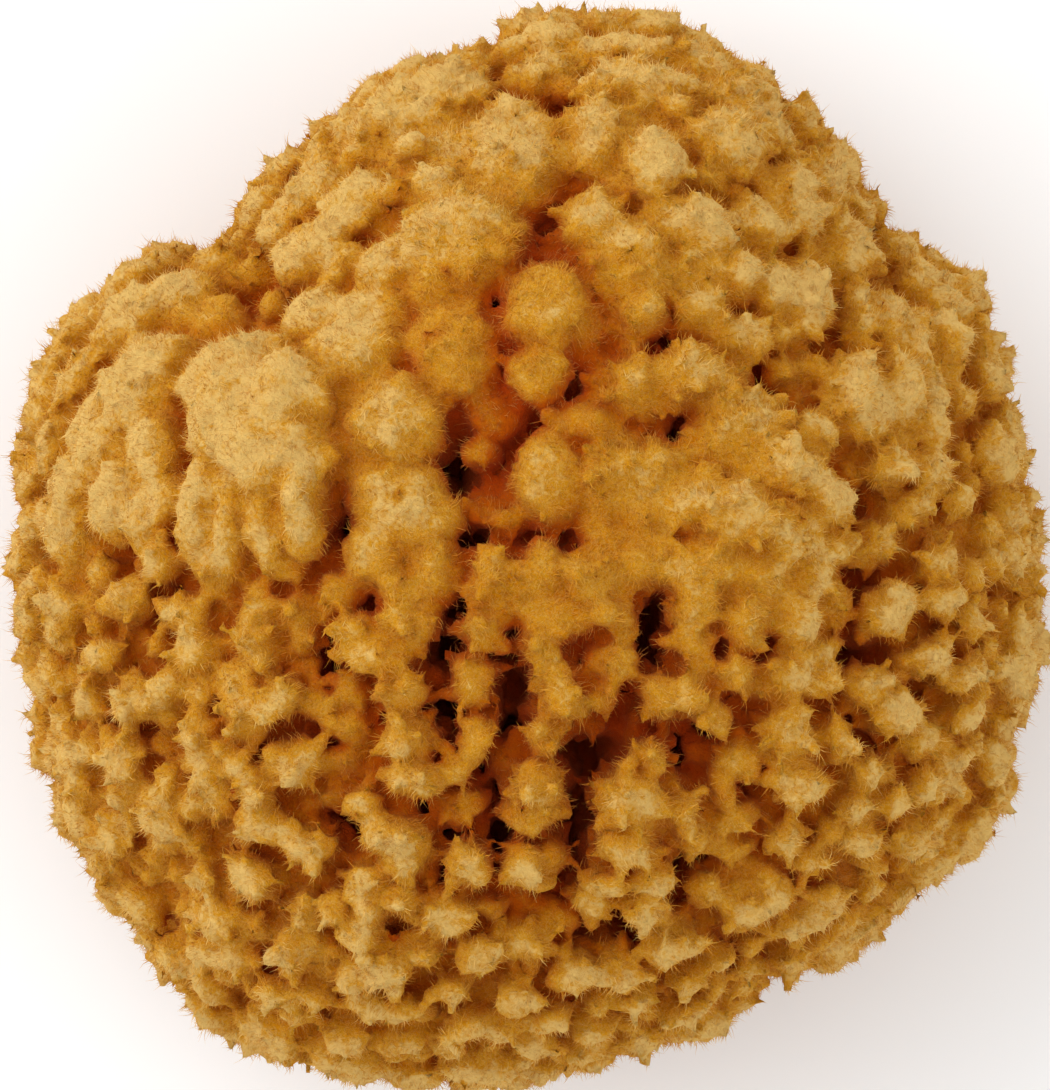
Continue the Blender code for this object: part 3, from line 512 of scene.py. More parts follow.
def rounding(lift):
    """How far a point of the dome is across and up, as shares, by the angle of its lift."""
    power = 2.0 / FULLNESS
    return np.abs(np.cos(lift)) ** power, np.abs(np.sin(lift)) ** power


def crown_shift(up):
    """How far the dome's axis has moved aside at each height."""
    return (up ** CROWN_SHIFT_BEND)[..., None] * np.array(CROWN_SHIFT)


def dome(turn, lift):
    """Points of the plain dome: turn is the angle round it, lift the angle above its widest level."""
    across, up = rounding(lift)
    above = lift >= 0.0
    height = np.where(above, (HEIGHT - WIDEST_LEVEL) * up, -UNDERSIDE_DEPTH * up)
    reach = rim_reach(turn) * across
    plan = np.stack([reach * np.cos(turn), reach * np.sin(turn)], axis=-1)
    plan = plan + crown_shift(np.where(above, up, 0.0))
    return np.concatenate([plan, (WIDEST_LEVEL + height)[..., None]], axis=-1)


def dome_normal(turn, lift):
    """The outward direction of the dome, from two short steps along it."""
    lift = np.clip(lift, -STEEPEST_LIFT, STEEPEST_LIFT)
    round_it = dome(turn + DIRECTION_STEP, lift) - dome(turn - DIRECTION_STEP, lift)
    up_it = dome(turn, lift + DIRECTION_STEP) - dome(turn, lift - DIRECTION_STEP)
    return unit(np.cross(round_it, up_it))


def in_picture(points):
    """Where the camera straight above sees each point, in mm at the widest level."""
    nearer = CAMERA_DISTANCE / (CAMERA_DISTANCE - (points[:, 2] - WIDEST_LEVEL))
    return points[:, :2] * nearer[:, None]


def on_dome(places):
    """The turn and lift of the points of the dome that the picture shows at these places."""
    lift = np.full(len(places), FIRST_LIFT)
    for _ in range(PLACING_ROUNDS):
        across, up = rounding(lift)
        nearer = CAMERA_DISTANCE / (CAMERA_DISTANCE - (HEIGHT - WIDEST_LEVEL) * up)
        from_axis = places / nearer[:, None] - crown_shift(up)
        turn = np.arctan2(from_axis[:, 1], from_axis[:, 0])
        share = np.clip(np.linalg.norm(from_axis, axis=1) / rim_reach(turn), 0.0, OUTERMOST_SHARE)
        lift = 0.5 * (lift + np.arccos(share ** (0.5 * FULLNESS)))
    return turn, lift


def surface(turn, lift):
    """Points and directions of the swollen dome, which the tips of the tufts reach."""
    points = dome(turn, lift)
    normals = dome_normal(turn, lift)
    on_crown = smooth_step(np.sin(lift) / CROWN_FADE)
    return points + normals * (swell(in_picture(points)) * on_crown)[:, None], normals


def depth_below_tips(points):
    """How deep each point lies under the plain dome, in mm."""
    above = points[:, 2] - WIDEST_LEVEL
    up = np.clip(above / (HEIGHT - WIDEST_LEVEL), 0.0, 1.0)
    from_axis = points[:, :2] - crown_shift(up)
    turn = np.arctan2(from_axis[:, 1], from_axis[:, 0])
    across = np.linalg.norm(from_axis, axis=1) / rim_reach(turn)
    upright = np.where(above > 0.0, up, -above / UNDERSIDE_DEPTH)
    share = (across ** FULLNESS + np.abs(upright) ** FULLNESS) ** (1.0 / FULLNESS)
    size = np.linalg.norm(np.column_stack([from_axis, above]), axis=1)
    return size * (1.0 / np.maximum(share, LEAST_SHARE) - 1.0)


def tuft(tip, axis, side, half_width, half_height, ragged):
    """One rounded finger, a narrow neck under a domed cap: its points, its faces and where knobs grow."""
    other = np.cross(axis, side)
    cap = min(LONGEST_CAP, TUFT_CAP * (half_width + half_height))
    rings = [(back * TUFT_LENGTH, TUFT_NECK + (1.0 - TUFT_NECK) * opened) for back, opened in BODY_RINGS]
    rings += [(cap * (1.0 - share), math.sqrt(1.0 - share * share)) for share in CAP_RINGS]
    angles = np.arange(TUFT_SIDES) * 2.0 * math.pi / TUFT_SIDES
    across = np.cos(angles)[:, None] * side * half_width + np.sin(angles)[:, None] * other * half_height
    points = [tip - axis * back + across * wide for back, wide in rings]
    points = np.concatenate(points + [[tip - axis * TUFT_LENGTH], [tip]])
    faces = []
    last = (len(rings) - 1) * TUFT_SIDES
    root = last + TUFT_SIDES
    for i in range(TUFT_SIDES):
        j = (i + 1) % TUFT_SIDES
        faces.append((j, i, root))
        faces.append((last + i, last + j, root + 1))
        for low in range(0, last, TUFT_SIDES):
            faces.append((low + i, low + j, low + TUFT_SIDES + j, low + TUFT_SIDES + i))
    knobbly = np.full(len(points), ragged)
    knobbly[:TUFT_SIDES] = 0.0
    knobbly[root] = 0.0
    return points, faces, knobbly


def in_a_pit(place):
    """Whether a place of the crown lies in one of the pits or close by it."""
    for px, py, half_width, half_height in PITS:
        gap = (place - picture_place(px, py)) / (half_width + PIT_CLEARANCE, half_height + PIT_CLEARANCE)
        if gap @ gap < 1.0:
            return True
    return False


def filling_tufts(points, sizes, chance):
    """Tufts thrown at random on the dome, kept where they stand clear of those that are there already."""
    found = []
    for _ in range(TRIES):
        turn = chance.uniform(-math.pi, math.pi)
        lift = math.asin(chance.uniform(LOWEST_LIFT, 1.0))
        size = chance.uniform(*TUFT_SIZE_SPREAD)
        widening = chance.uniform(*FLANK_WIDENING)
        slant = chance.uniform(-FLANK_SLANT, FLANK_SLANT)
        point = dome(np.array([turn]), np.array([lift]))
        on_flank = math.cos(lift) > FLANK_START
        spacing = (FLANK_SPACING if on_flank else FILL_SPACING) * size
        half = (FLANK_SIZE if on_flank else FILL_SIZE) * size
        gaps = np.linalg.norm(points - point, axis=1)
        if np.any(gaps < 0.5 * spacing + NEIGHBOUR_SHARE * sizes):
            continue
        if not on_flank and in_a_pit(in_picture(point)[0]):
            continue
        points = np.concatenate([points, point])
        sizes = np.append(sizes, half)
        half_width = half * widening if on_flank else half
        held_back = 0.0 if on_flank else FILL_BELOW
        found.append((turn, lift, half_width, half, slant, held_back))
    return np.array(found)


def all_tufts(chance):
    """Every tuft's turn, lift, half-width, half-height, held-back tip and raggedness, and its width's way."""
    crown = [
        (ragged, stout, *lobe, 0.0)[:CROWN_COLUMNS] for group, ragged, stout in CROWN_GROUPS for lobe in group
    ]
    ragged, stout, px, py, half_width, half_height, width_turn = np.array(crown, float).T
    turn, lift = on_dome(picture_place(px, py))
    named = np.stack([turn, lift, stout * half_width, stout * half_height, 0.0 * turn, ragged], axis=1)
    sides = np.stack([np.cos(np.radians(width_turn)), np.sin(np.radians(width_turn)), 0.0 * turn], axis=1)
    filling = filling_tufts(dome(turn, lift), 0.5 * (half_width + half_height), chance)
    turn, slant = filling[:, 0], filling[:, 4]
    filling_sides = np.stack([-np.sin(turn), np.cos(turn), np.sin(slant)], axis=1)
    filling = np.column_stack([filling[:, [0, 1, 2, 3, 5]], np.full(len(filling), FILL_RAGGED)])
    return np.concatenate([named, filling]), np.concatenate([sides, filling_sides])


def tuft_meshes(chance):
    """All the tufts as one loose mesh: points, faces, where knobs grow and how thick each point's tuft is."""
    tufts, widths = all_tufts(chance)
    tips, normals = surface(tufts[:, 0], tufts[:, 1])
    axes = unit(normals + chance.normal(0.0, TUFT_SWAY, normals.shape))
    widths = unit(widths - axes * np.sum(widths * axes, axis=1, keepdims=True))
    held_back = tufts[:, 4] + chance.uniform(0.0, TUFT_UNEVEN, len(tufts)) + TIP_SPARE
    tips = tips - axes * held_back[:, None]
    points, faces, knobbly, girth = [], [], [], []
    count = 0
    sizes = tufts[:, [2, 3, 5]]
    for tip, axis, side, (half_width, half_height, ragged) in zip(tips, axes, widths, sizes):
        shape, sides, grows = tuft(tip, axis, side, half_width, half_height, ragged)
        points.append(shape)
        faces += [tuple(corner + count for corner in face) for face in sides]
        knobbly.append(grows)
        girth.append(np.full(len(shape), 0.5 * (half_width + half_height)))
        count += len(shape)
    return np.concatenate(points), faces, np.concatenate(knobbly), np.concatenate(girth)


def core_mesh():
    """The body under the tufts: a ball of triangles moved onto the dome, less its depth and its pits."""
    ball = bmesh.new()
    bmesh.ops.create_icosphere(ball, subdivisions=CORE_SUBDIVISIONS, radius=1.0)
    directions = np.array([vertex.co for vertex in ball.verts])
    faces = [tuple(vertex.index for vertex in face.verts) for face in ball.faces]
    ball.free()
    turn = np.arctan2(directions[:, 1], directions[:, 0])
    lift = np.arcsin(np.clip(directions[:, 2], -1.0, 1.0))
    points, normals = surface(turn, lift)
    seen = in_picture(points)
    pit = np.zeros(len(points))
    for px, py, half_width, half_height in PITS:
        gap = (seen - picture_place(px, py)) / (half_width + PIT_EDGE, half_height + PIT_EDGE)
        pit = np.maximum(pit, smooth_step(PIT_SLOPE - np.linalg.norm(gap, axis=1)))
    depth = CORE_DEPTH + PIT_DEPTH * np.where(lift > 0.0, pit, 0.0)
    return points - normals * depth[:, None], faces


def store(mesh, name, values):
    """Keeps one number for each point of a mesh under this name."""
    attribute = mesh.attributes.new(name, "FLOAT", "POINT")
    attribute.data.foreach_set("value", np.asarray(values, np.float32))


def read_points(mesh):
    """The places of a mesh's points and their outward directions."""
    places = np.empty(3 * len(mesh.vertices), np.float32)
    mesh.vertices.foreach_get("co", places)
    directions = np.empty(3 * len(mesh.vertices), np.float32)
    mesh.vertex_normals.foreach_get("vector", directions)
    return places.reshape(-1, 3).astype(float), directions.reshape(-1, 3).astype(float)


def new_object(name, mesh):
    made = bpy.data.objects.new(name, mesh)
    bpy.context.scene.collection.objects.link(made)
    return made


def loose_shapes():
    """The core and all the tufts as one object, still running through each other."""
    tuft_points, tuft_faces, knobbly, girth = tuft_meshes(np.random.default_rng(SEED))
    core_points, core_faces = core_mesh()
    core_faces = [tuple(corner + len(tuft_points) for corner in face) for face in core_faces]
    bare = np.zeros(len(core_points))
    mesh = bpy.data.meshes.new("loose_shapes")
    mesh.from_pydata(np.concatenate([tuft_points, core_points]) * METRES, [], tuft_faces + core_faces)
    store(mesh, KNOBBLY, np.concatenate([knobbly, bare]))
    store(mesh, GIRTH, np.concatenate([girth * METRES, bare]))
    return new_object("loose_shapes", mesh)


class Nodes:
    """Adds nodes to a tree and joins their sockets."""

    def __init__(self, tree):
        self.tree = tree

    def feed(self, socket, value):
        if isinstance(value, bpy.types.NodeSocket):
            self.tree.links.new(value, socket)
        else:
            socket.default_value = value

    def node(self, kind, settings=None, **sockets):
        """Adds a node, sets what it is and feeds its sockets with values or other sockets."""
        made = self.tree.nodes.new(kind)
        for name, value in (settings or {}).items():
            setattr(made, name, value)
        for name, value in sockets.items():
            self.feed(made.inputs[name.replace("_", " ")], value)
        return made

    def add(self, kind, settings=None, **sockets):
        """Adds a node and gives its first output."""
        return self.node(kind, settings, **sockets).outputs[0]

    def apply(self, kind, operation, *values, **settings):
        """The outcome of one operation on these values."""
        made = self.node(kind, {"operation": operation, **settings})
        for socket, value in zip(made.inputs, values):
            self.feed(socket, value)
        return made.outputs[0]

    def math(self, operation, *values, clamped=False):
        return self.apply("ShaderNodeMath", operation, *values, use_clamp=clamped)


class Tree(Nodes):
    """A Geometry Nodes tree with named inputs that set its sizes."""

    def __init__(self, name, sizes, others=()):
        super().__init__(bpy.data.node_groups.new(name, "GeometryNodeTree"))
        self.tree.is_modifier = True
        interface = self.tree.interface
        interface.new_socket("Geometry", in_out="OUTPUT", socket_type="NodeSocketGeometry")
        inputs = [("Geometry", "NodeSocketGeometry")] + [(size, "NodeSocketFloat") for size in sizes]
        for label, kind in (*inputs, *others):
            interface.new_socket(label, in_out="INPUT", socket_type=kind)
        self.inputs = self.tree.nodes.new("NodeGroupInput").outputs
        self.output = self.tree.nodes.new("NodeGroupOutput").inputs["Geometry"]

    def vector(self, operation, *values):
        return self.apply("ShaderNodeVectorMath", operation, *values)

    def scaled(self, vector, factor):
        return self.add("ShaderNodeVectorMath", {"operation": "SCALE"}, Vector=vector, Scale=factor)

    def random(self, kind, low, high, seed):
        """A random number or vector for each element, between low and high."""
        made = self.node("FunctionNodeRandomValue", {"data_type": kind})
        of_kind = [socket for socket in made.inputs if socket.enabled]
        self.feed(of_kind[0], low)
        self.feed(of_kind[1], high)
        self.feed(made.inputs["Seed"], seed)
        return next(socket for socket in made.outputs if socket.enabled)

    def named(self, name):
        return self.add("GeometryNodeInputNamedAttribute", {"data_type": "FLOAT"}, Name=name)

    def keep(self, geometry, domain, name, value):
        """Stores a number on a geometry under this name."""
        return self.add("GeometryNodeStoreNamedAttribute", {"data_type": "FLOAT", "domain": domain},
                        Geometry=geometry, Name=name, Value=value)

    def facing(self, direction):
        """The turn that points a shape's own Z this way."""
        return self.add("FunctionNodeAlignRotationToVector", {"axis": "Z"}, Vector=direction)

    def add_to(self, piece, values):
        """Puts the tree on an object as a modifier, with the values of its inputs."""
        modifier = piece.modifiers.new(self.tree.name, "NODES")
        modifier.node_group = self.tree
        for item in self.tree.interface.items_tree:
            if item.in_out == "INPUT" and item.name in values:
                modifier[item.identifier] = values[item.name]


def knob_tree():
    """Little pointed knobs scattered over the tufts, larger on thick and ragged tufts."""
    tree = Tree("knobs", ("Spacing", "Size"))
    geometry, spacing = tree.inputs["Geometry"], tree.inputs["Spacing"]
    density = tree.math("DIVIDE", 1.0, tree.math("MULTIPLY", spacing, spacing))
    ragged = tree.named(KNOBBLY)
    scattered = tree.node(
        "GeometryNodeDistributePointsOnFaces", {"distribute_method": "POISSON"},
        Mesh=geometry, Distance_Min=spacing, Density_Max=density,
        Density_Factor=tree.math("MULTIPLY", ragged, KNOBBY_FROM_NECK), Seed=SEED,
    )
    thickness = tree.math("DIVIDE", tree.named(GIRTH), GIRTH_OF_A_USUAL_TUFT * METRES)
    growth = tree.math("MULTIPLY", tree.math("POWER", thickness, KNOB_GROWTH), ragged)
    uneven = tree.random("FLOAT", 1.0 - KNOB_SPREAD, 1.0 + KNOB_SPREAD, SEED)
    radius = tree.math("MULTIPLY", tree.math("MULTIPLY", growth, uneven), tree.inputs["Size"])
    point = tree.add("GeometryNodeMeshCone", {"fill_type": "NGON"}, Vertices=KNOB_SIDES, Radius_Top=KNOB_TIP,
                     Radius_Bottom=1.0, Depth=KNOB_HEIGHT)
    sunk = tree.add("GeometryNodeTransform", Geometry=point, Translation=(0.0, 0.0, -KNOB_SUNK))
    aside = tree.random("FLOAT_VECTOR", (-KNOB_LEAN,) * 3, (KNOB_LEAN,) * 3, SEED)
    aimed = tree.facing(tree.vector("ADD", scattered.outputs["Normal"], aside))
    placed = tree.add("GeometryNodeInstanceOnPoints", Points=scattered.outputs["Points"], Instance=sunk,
                      Rotation=aimed, Scale=radius)
    real = tree.add("GeometryNodeRealizeInstances", Geometry=placed)
    joined = tree.node("GeometryNodeJoinGeometry")
    for shape in (geometry, real):
        tree.feed(joined.inputs["Geometry"], shape)
    tree.feed(tree.output, joined.outputs["Geometry"])
    return tree


def relief_tree():
    """Keeps the outer skin alone, cuts it off a little under the floor, and roughens it by two noises."""
    tree = Tree("relief", ("Grain", "Grain Height", "Swirl", "Swirl Height"))
    geometry = tree.inputs["Geometry"]
    island = tree.add("GeometryNodeInputMeshIsland")
    count = tree.node("GeometryNodeAccumulateField", {"data_type": "INT"}, Value=1, Group_ID=island)
    counted = count.outputs["Total"]
    most = tree.node("GeometryNodeAttributeStatistic", Geometry=geometry, Attribute=counted)
    small = tree.apply("FunctionNodeCompare", "LESS_THAN", counted, most.outputs["Max"])
    place = tree.add("GeometryNodeInputPosition")
    height = tree.node("ShaderNodeSeparateXYZ", Vector=place).outputs["Z"]
    below = tree.apply("FunctionNodeCompare", "LESS_THAN", height, -CUT_SPARE * METRES)
    spare = tree.apply("FunctionNodeBooleanMath", "OR", small, below)
    kept = tree.add("GeometryNodeDeleteGeometry", Geometry=geometry, Selection=spare)
    parts = []
    for name, detail in (("Grain", GRAIN_DETAIL), ("Swirl", SWIRL_DETAIL)):
        scale = tree.math("DIVIDE", 1.0, tree.inputs[name])
        noise = tree.add("ShaderNodeTexNoise", Vector=place, Scale=scale, Detail=detail)
        reach = tree.math("MULTIPLY", SPREAD, tree.inputs[name + " Height"])
        parts.append(tree.math("MULTIPLY", tree.math("SUBTRACT", noise, MIDDLE), reach))
    offset = tree.scaled(tree.add("GeometryNodeInputNormal"), tree.math("ADD", *parts))
    tree.feed(tree.output, tree.add("GeometryNodeSetPosition", Geometry=kept, Offset=offset))
    return tree


def fibre_tree(name, stretches):
    """Closed three-sided fibres that grow out of a skin, each of so many straight stretches."""
    sizes = ("Density", "Length", "Thickness", "Lean", "Comb", "Splay", "Bend")
    tree = Tree(name, sizes, (("Seed", "NodeSocketInt"), ("Wool", "NodeSocketMaterial")))
    seed = tree.inputs["Seed"]
    density = tree.math("MULTIPLY", tree.inputs["Density"], tree.named(SHOWN))
    scattered = tree.node("GeometryNodeDistributePointsOnFaces", Mesh=tree.inputs["Geometry"],
                          Density=density, Seed=seed)
    normal = scattered.outputs["Normal"]
    place = tree.add("GeometryNodeInputPosition")
    outward = tree.vector("NORMALIZE", tree.vector("SUBTRACT", place, HEART_OF_THE_SPONGE))
    aside = tree.random("FLOAT_VECTOR", (-1.0,) * 3, (1.0,) * 3, seed)
    splayed = tree.scaled(outward, tree.inputs["Splay"])
    leaning = tree.scaled(aside, tree.inputs["Lean"])
    swept = tree.node("ShaderNodeTexNoise", Vector=place, Scale=1.0 / (LOCK_SIZE * METRES),
                      Detail=LOCK_DETAIL)
    combing = tree.vector("SUBTRACT", swept.outputs["Color"], (MIDDLE,) * 3)
    combed = tree.scaled(combing, tree.inputs["Comb"])
    turning = tree.vector("ADD", tree.vector("ADD", splayed, leaning), combed)
    upward = tree.facing(tree.vector("ADD", normal, turning))
    turned = tree.add("FunctionNodeAlignRotationToVector", {"axis": "Y", "pivot_axis": "Z"}, Rotation=upward,
                      Vector=normal)
    spike = tree.add("GeometryNodeMeshCone", {"fill_type": "NGON"}, Vertices=FIBRE_SIDES,
                     Side_Segments=stretches, Radius_Top=0.0, Radius_Bottom=1.0, Depth=1.0)
    flat_side_up = tree.add("GeometryNodeTransform", Geometry=spike,
                            Rotation=(0.0, 0.0, math.radians(FLAT_SIDE_TURN)))
    along = tree.node("ShaderNodeSeparateXYZ", Vector=place).outputs["Z"]
    marked = tree.keep(flat_side_up, "POINT", ALONG, along)
    curl = tree.math("MULTIPLY", tree.inputs["Bend"], tree.math("MULTIPLY", along, along))
    sideways = tree.add("ShaderNodeCombineXYZ", X=curl, Z=-ROOT_SHARE)
    bent = tree.add("GeometryNodeSetPosition", Geometry=marked, Offset=sideways)
    short = tree.random("FLOAT", 1.0 - FIBRE_SPREAD, 1.0 + FIBRE_SPREAD, tree.math("ADD", seed, LENGTH_SEED))
    clump = tree.add("ShaderNodeTexNoise", Vector=place, Scale=1.0 / (CLUMP_OF_FIBRES * METRES),
                     Detail=CLUMP_NOISE_DETAIL)
    gathered = tree.node("ShaderNodeMapRange")
    for socket, value in zip(gathered.inputs, (clump, *CLUMP_NOISE, *CLUMP_LENGTHS)):
        tree.feed(socket, value)
    share = tree.math("MULTIPLY", short, gathered.outputs["Result"])
    length = tree.math("MULTIPLY", tree.inputs["Length"], share)
    thickness = tree.inputs["Thickness"]
    breadth = tree.math("MULTIPLY", thickness, FLATNESS)
    size = tree.add("ShaderNodeCombineXYZ", X=thickness, Y=breadth, Z=length)
    placed = tree.add("GeometryNodeInstanceOnPoints", Points=scattered.outputs["Points"], Instance=bent,
                      Rotation=turned, Scale=size)
    tone = tree.random("FLOAT", 0.0, 1.0, tree.math("ADD", seed, TONE_SEED))
    real = tree.add("GeometryNodeRealizeInstances", Geometry=tree.keep(placed, "INSTANCE", TONE, tone))
    grown = tree.node("ShaderNodeSeparateXYZ", Vector=place).outputs
    level = tree.math("MAXIMUM", grown["Z"], LEAST_LEVEL * METRES)
    lying = tree.add("ShaderNodeCombineXYZ", X=grown["X"], Y=grown["Y"], Z=level)
    above = tree.add("GeometryNodeSetPosition", Geometry=real, Position=lying)
    tree.feed(tree.output, tree.add("GeometryNodeSetMaterial", Geometry=above, Material=tree.inputs["Wool"]))
    return tree


def plain_mesh(piece):
    """The object's mesh with its modifiers applied. The object is removed."""
    depsgraph = bpy.context.evaluated_depsgraph_get()
    mesh = bpy.data.meshes.new_from_object(piece.evaluated_get(depsgraph))
    bpy.data.objects.remove(piece, do_unlink=True)
    return mesh


def cut_level(mesh):
    """Cuts the skin off level at the floor and closes the cut."""
    skin = bmesh.new()
    skin.from_mesh(mesh)
    geometry = skin.verts[:] + skin.edges[:] + skin.faces[:]
    bmesh.ops.bisect_plane(skin, geom=geometry, plane_co=(0, 0, 0), plane_no=(0, 0, -1), clear_outer=True,
                           dist=CUT_TOLERANCE)
    rim = [edge for edge in skin.edges if edge.is_boundary]
    bmesh.ops.triangle_fill(skin, edges=rim, use_beauty=True)
    bmesh.ops.triangulate(skin, faces=skin.faces[:])
    skin.to_mesh(mesh)
    skin.free()


def grow_skin(shape):
    """The knobbly outer skin of the whole sponge as a plain closed mesh."""
    loose = loose_shapes()
    knob_tree().add_to(loose, {"Spacing": shape.knob_spacing, "Size": shape.knob_size})
    remesh = loose.modifiers.new("one_skin", "REMESH")
    remesh.mode = "VOXEL"
    remesh.voxel_size = shape.fineness
    soften = loose.modifiers.new("soften", "SMOOTH")
    soften.iterations = SOFTENING_PASSES
    relief_tree().add_to(loose, {
        "Grain": shape.grain, "Grain Height": shape.grain_height,
        "Swirl": shape.swirl, "Swirl Height": shape.swirl_height,
    })
    full = new_object("full_skin", plain_mesh(loose))
    triangles = 2 * len(full.data.polygons)
    decimate = full.modifiers.new("thin", "DECIMATE")
    decimate.ratio = SKIN_TRIANGLES / triangles
    mesh = plain_mesh(full)
    cut_level(mesh)
    mesh.shade_smooth()
    return mesh


def sky_directions():
    """Even directions over the half-sphere round +Z, closer together near +Z."""
    number = np.arange(SKY_RAYS) + 0.5
    height = np.sqrt(1.0 - number / SKY_RAYS)
    turn = number * math.pi * (3.0 - math.sqrt(5.0))
    across = np.sqrt(1.0 - height ** 2)
    return np.stack([across * np.cos(turn), across * np.sin(turn), height], axis=1)


def closed_in(mesh):
    """How much of the sky the wool hides from each point of the skin, from 0 on a tip to 1 in a pit."""
    tree = BVHTree.FromPolygons(
        [vertex.co for vertex in mesh.vertices], [polygon.vertices[:] for polygon in mesh.polygons],
    )
    places, directions = read_points(mesh)
    upright = np.abs(directions[:, 2:]) > NEARLY_UPRIGHT
    sides = unit(np.cross(directions, np.where(upright, (1.0, 0.0, 0.0), (0.0, 0.0, 1.0))))
    others = np.cross(directions, sides)
    reach = SKY_REACH * METRES
    starts = [Vector(place) for place in places + directions * SKIN_GAP * METRES]
    hidden = np.zeros(len(places))
    for across, beside, up in sky_directions():
        rays = across * sides + beside * others + up * directions
        for number, (start, ray) in enumerate(zip(starts, rays.tolist())):
            distance = tree.ray_cast(start, ray, reach)[3]
            if distance is not None:
                hidden[number] += 1.0 - distance / reach
    return hidden / SKY_RAYS


def evened(mesh, values):
    """Values of the mesh's points, each averaged a few times with those of its neighbours."""
    ends = np.empty(2 * len(mesh.edges), np.int32)
    mesh.edges.foreach_get("vertices", ends)
    first, second = ends.reshape(-1, 2).T
    neighbours = np.bincount(ends, minlength=len(values))
    for _ in range(HOLLOW_PASSES):
        total = values + np.bincount(first, values[second], len(values))
        total += np.bincount(second, values[first], len(values))
        values = total / (neighbours + 1)
    return values


def mark_hollows(mesh):
    """Stores how hollow each point of the skin lies, which paints shade into the wool's colour, and how much
    fuzz shows on it.
    """
    places, directions = read_points(mesh)
    points = places / METRES
    depth = smooth_step((depth_below_tips(points) - SHALLOW) / (DEEP - SHALLOW))
    hidden = closed_in(mesh)
    # Painted shade: hidden sky and depth darken and redden the wool's colour
    hollow = evened(mesh, HIDDEN_WEIGHT * hidden + DEPTH_WEIGHT * depth)
    crown = smooth_step((points[:, 2] - WIDEST_LEVEL) / CROWN_RISE)
    # Painted shade: darker over the middle of the crown and a smaller patch above it
    shade = np.zeros(len(points))
    for px, py, reach, strength in DARKER_PARTS:
        away = np.linalg.norm(in_picture(points) - picture_place(px, py), axis=1)
        shade = np.maximum(shade, strength * crown * smooth_step(1.0 - away / reach))
    shaded = hollow * (1.0 + PART_DEEPENING * shade) + PART_PAINTED_SHADE * shade
    # Painted light: the crown made paler away from the darker parts
    store(mesh, HOLLOW_SHADE, np.clip(shaded - CROWN_PAINTED_LIGHT * crown * smooth_step(1.0 - shade), 0.0, 1.0))
    downy = (points[:, 2] > FLOOR_CLEARANCE) * (1.0 - smooth_step(hollow / BARE_HOLLOW))
    downy *= 1.0 - UPWARD_THINNESS * directions[:, 2] ** 2
    downy *= np.where(points[:, 2] > WIDEST_LEVEL, 1.0, 1.0 - FLANK_THINNESS)
    store(mesh, SHOWN, downy)


class Shader(Nodes):
    """The nodes of a material."""

    def __init__(self, name):
        self.material = bpy.data.materials.new(name)
        self.material.use_nodes = True
        super().__init__(self.material.node_tree)
        self.surface = self.tree.nodes["Principled BSDF"].inputs
        self.place = self.node("ShaderNodeTexCoord").outputs["Object"]

    def named(self, name):
        return self.node("ShaderNodeAttribute", {"attribute_name": name}).outputs["Fac"]

    def noise(self, size, detail, curl=0.0):
        """Noise with features of about this size in mm, twisted by its curl."""
        scale = 1.0 / (size * METRES)
        return self.add("ShaderNodeTexNoise", Vector=self.place, Scale=scale, Detail=detail, Distortion=curl)

    def weigh(self, value, weight, base):
        """A value less its middle, times a weight and added to a base, below 0 and above 1 too."""
        return self.math("MULTIPLY_ADD", self.math("SUBTRACT", value, MIDDLE), weight, base)

    def ramp(self, value, stops):
        made = self.node("ShaderNodeValToRGB", Fac=value)
        elements = made.color_ramp.elements
        while len(elements) < len(stops):
            elements.new(1.0)
        for element, (position, colour) in zip(elements, stops):
            element.position = position
            element.color = (*colour, 1.0)
        return made.outputs["Color"]

    def mix(self, share, first, second):
        made = self.node("ShaderNodeMix", {"data_type": "RGBA"})
        self.feed(made.inputs[0], share)
        colours = [socket for socket in made.inputs if socket.type == "RGBA"]
        self.feed(colours[0], first)
        self.feed(colours[1], second)
        return next(socket for socket in made.outputs if socket.type == "RGBA")


def flocks_of_wool(shader):
    """Little uneven flocks of wool, high in their middles; they raise the bump, and the colour is painted
    paler on their tops and darker between them.
    """
    return shader.noise(FLUFF_SIZE, FLUFF_DETAIL, FLUFF_CURL)


def wool_colour(shader, colours, hollow, flocks, other, contrast):
    """The wool's colour by how hollow the place is, as painted shade; the flocks shade it too, paler on their
    tops and darker between them, and clumps and one other value mottle it.
    """
    spot = shader.weigh(flocks, -FLUFF_SHADE, hollow)
    spot = shader.weigh(shader.noise(CLUMP_SIZE, CLUMP_DETAIL), CLUMP_CONTRAST, spot)
    return shader.ramp(shader.weigh(other, contrast, spot), (
        (TIP_HOLLOW, colours.tip), (WOOL_HOLLOW, colours.wool), (FOLD_HOLLOW, colours.fold_shade),
        (DEEP_HOLLOW, colours.deep_shade), (PIT_HOLLOW, colours.pit),
    ))


def finish_wool(shader, colours, wool, paleness):
    """Matt, slightly downy wool, as pale as the tips where its paleness says so."""
    shader.feed(shader.surface["Base Color"], shader.mix(paleness, wool, (*colours.tip, 1.0)))
    for name, value in WOOL_FINISH.items():
        shader.surface[name].default_value = value
    return shader.material


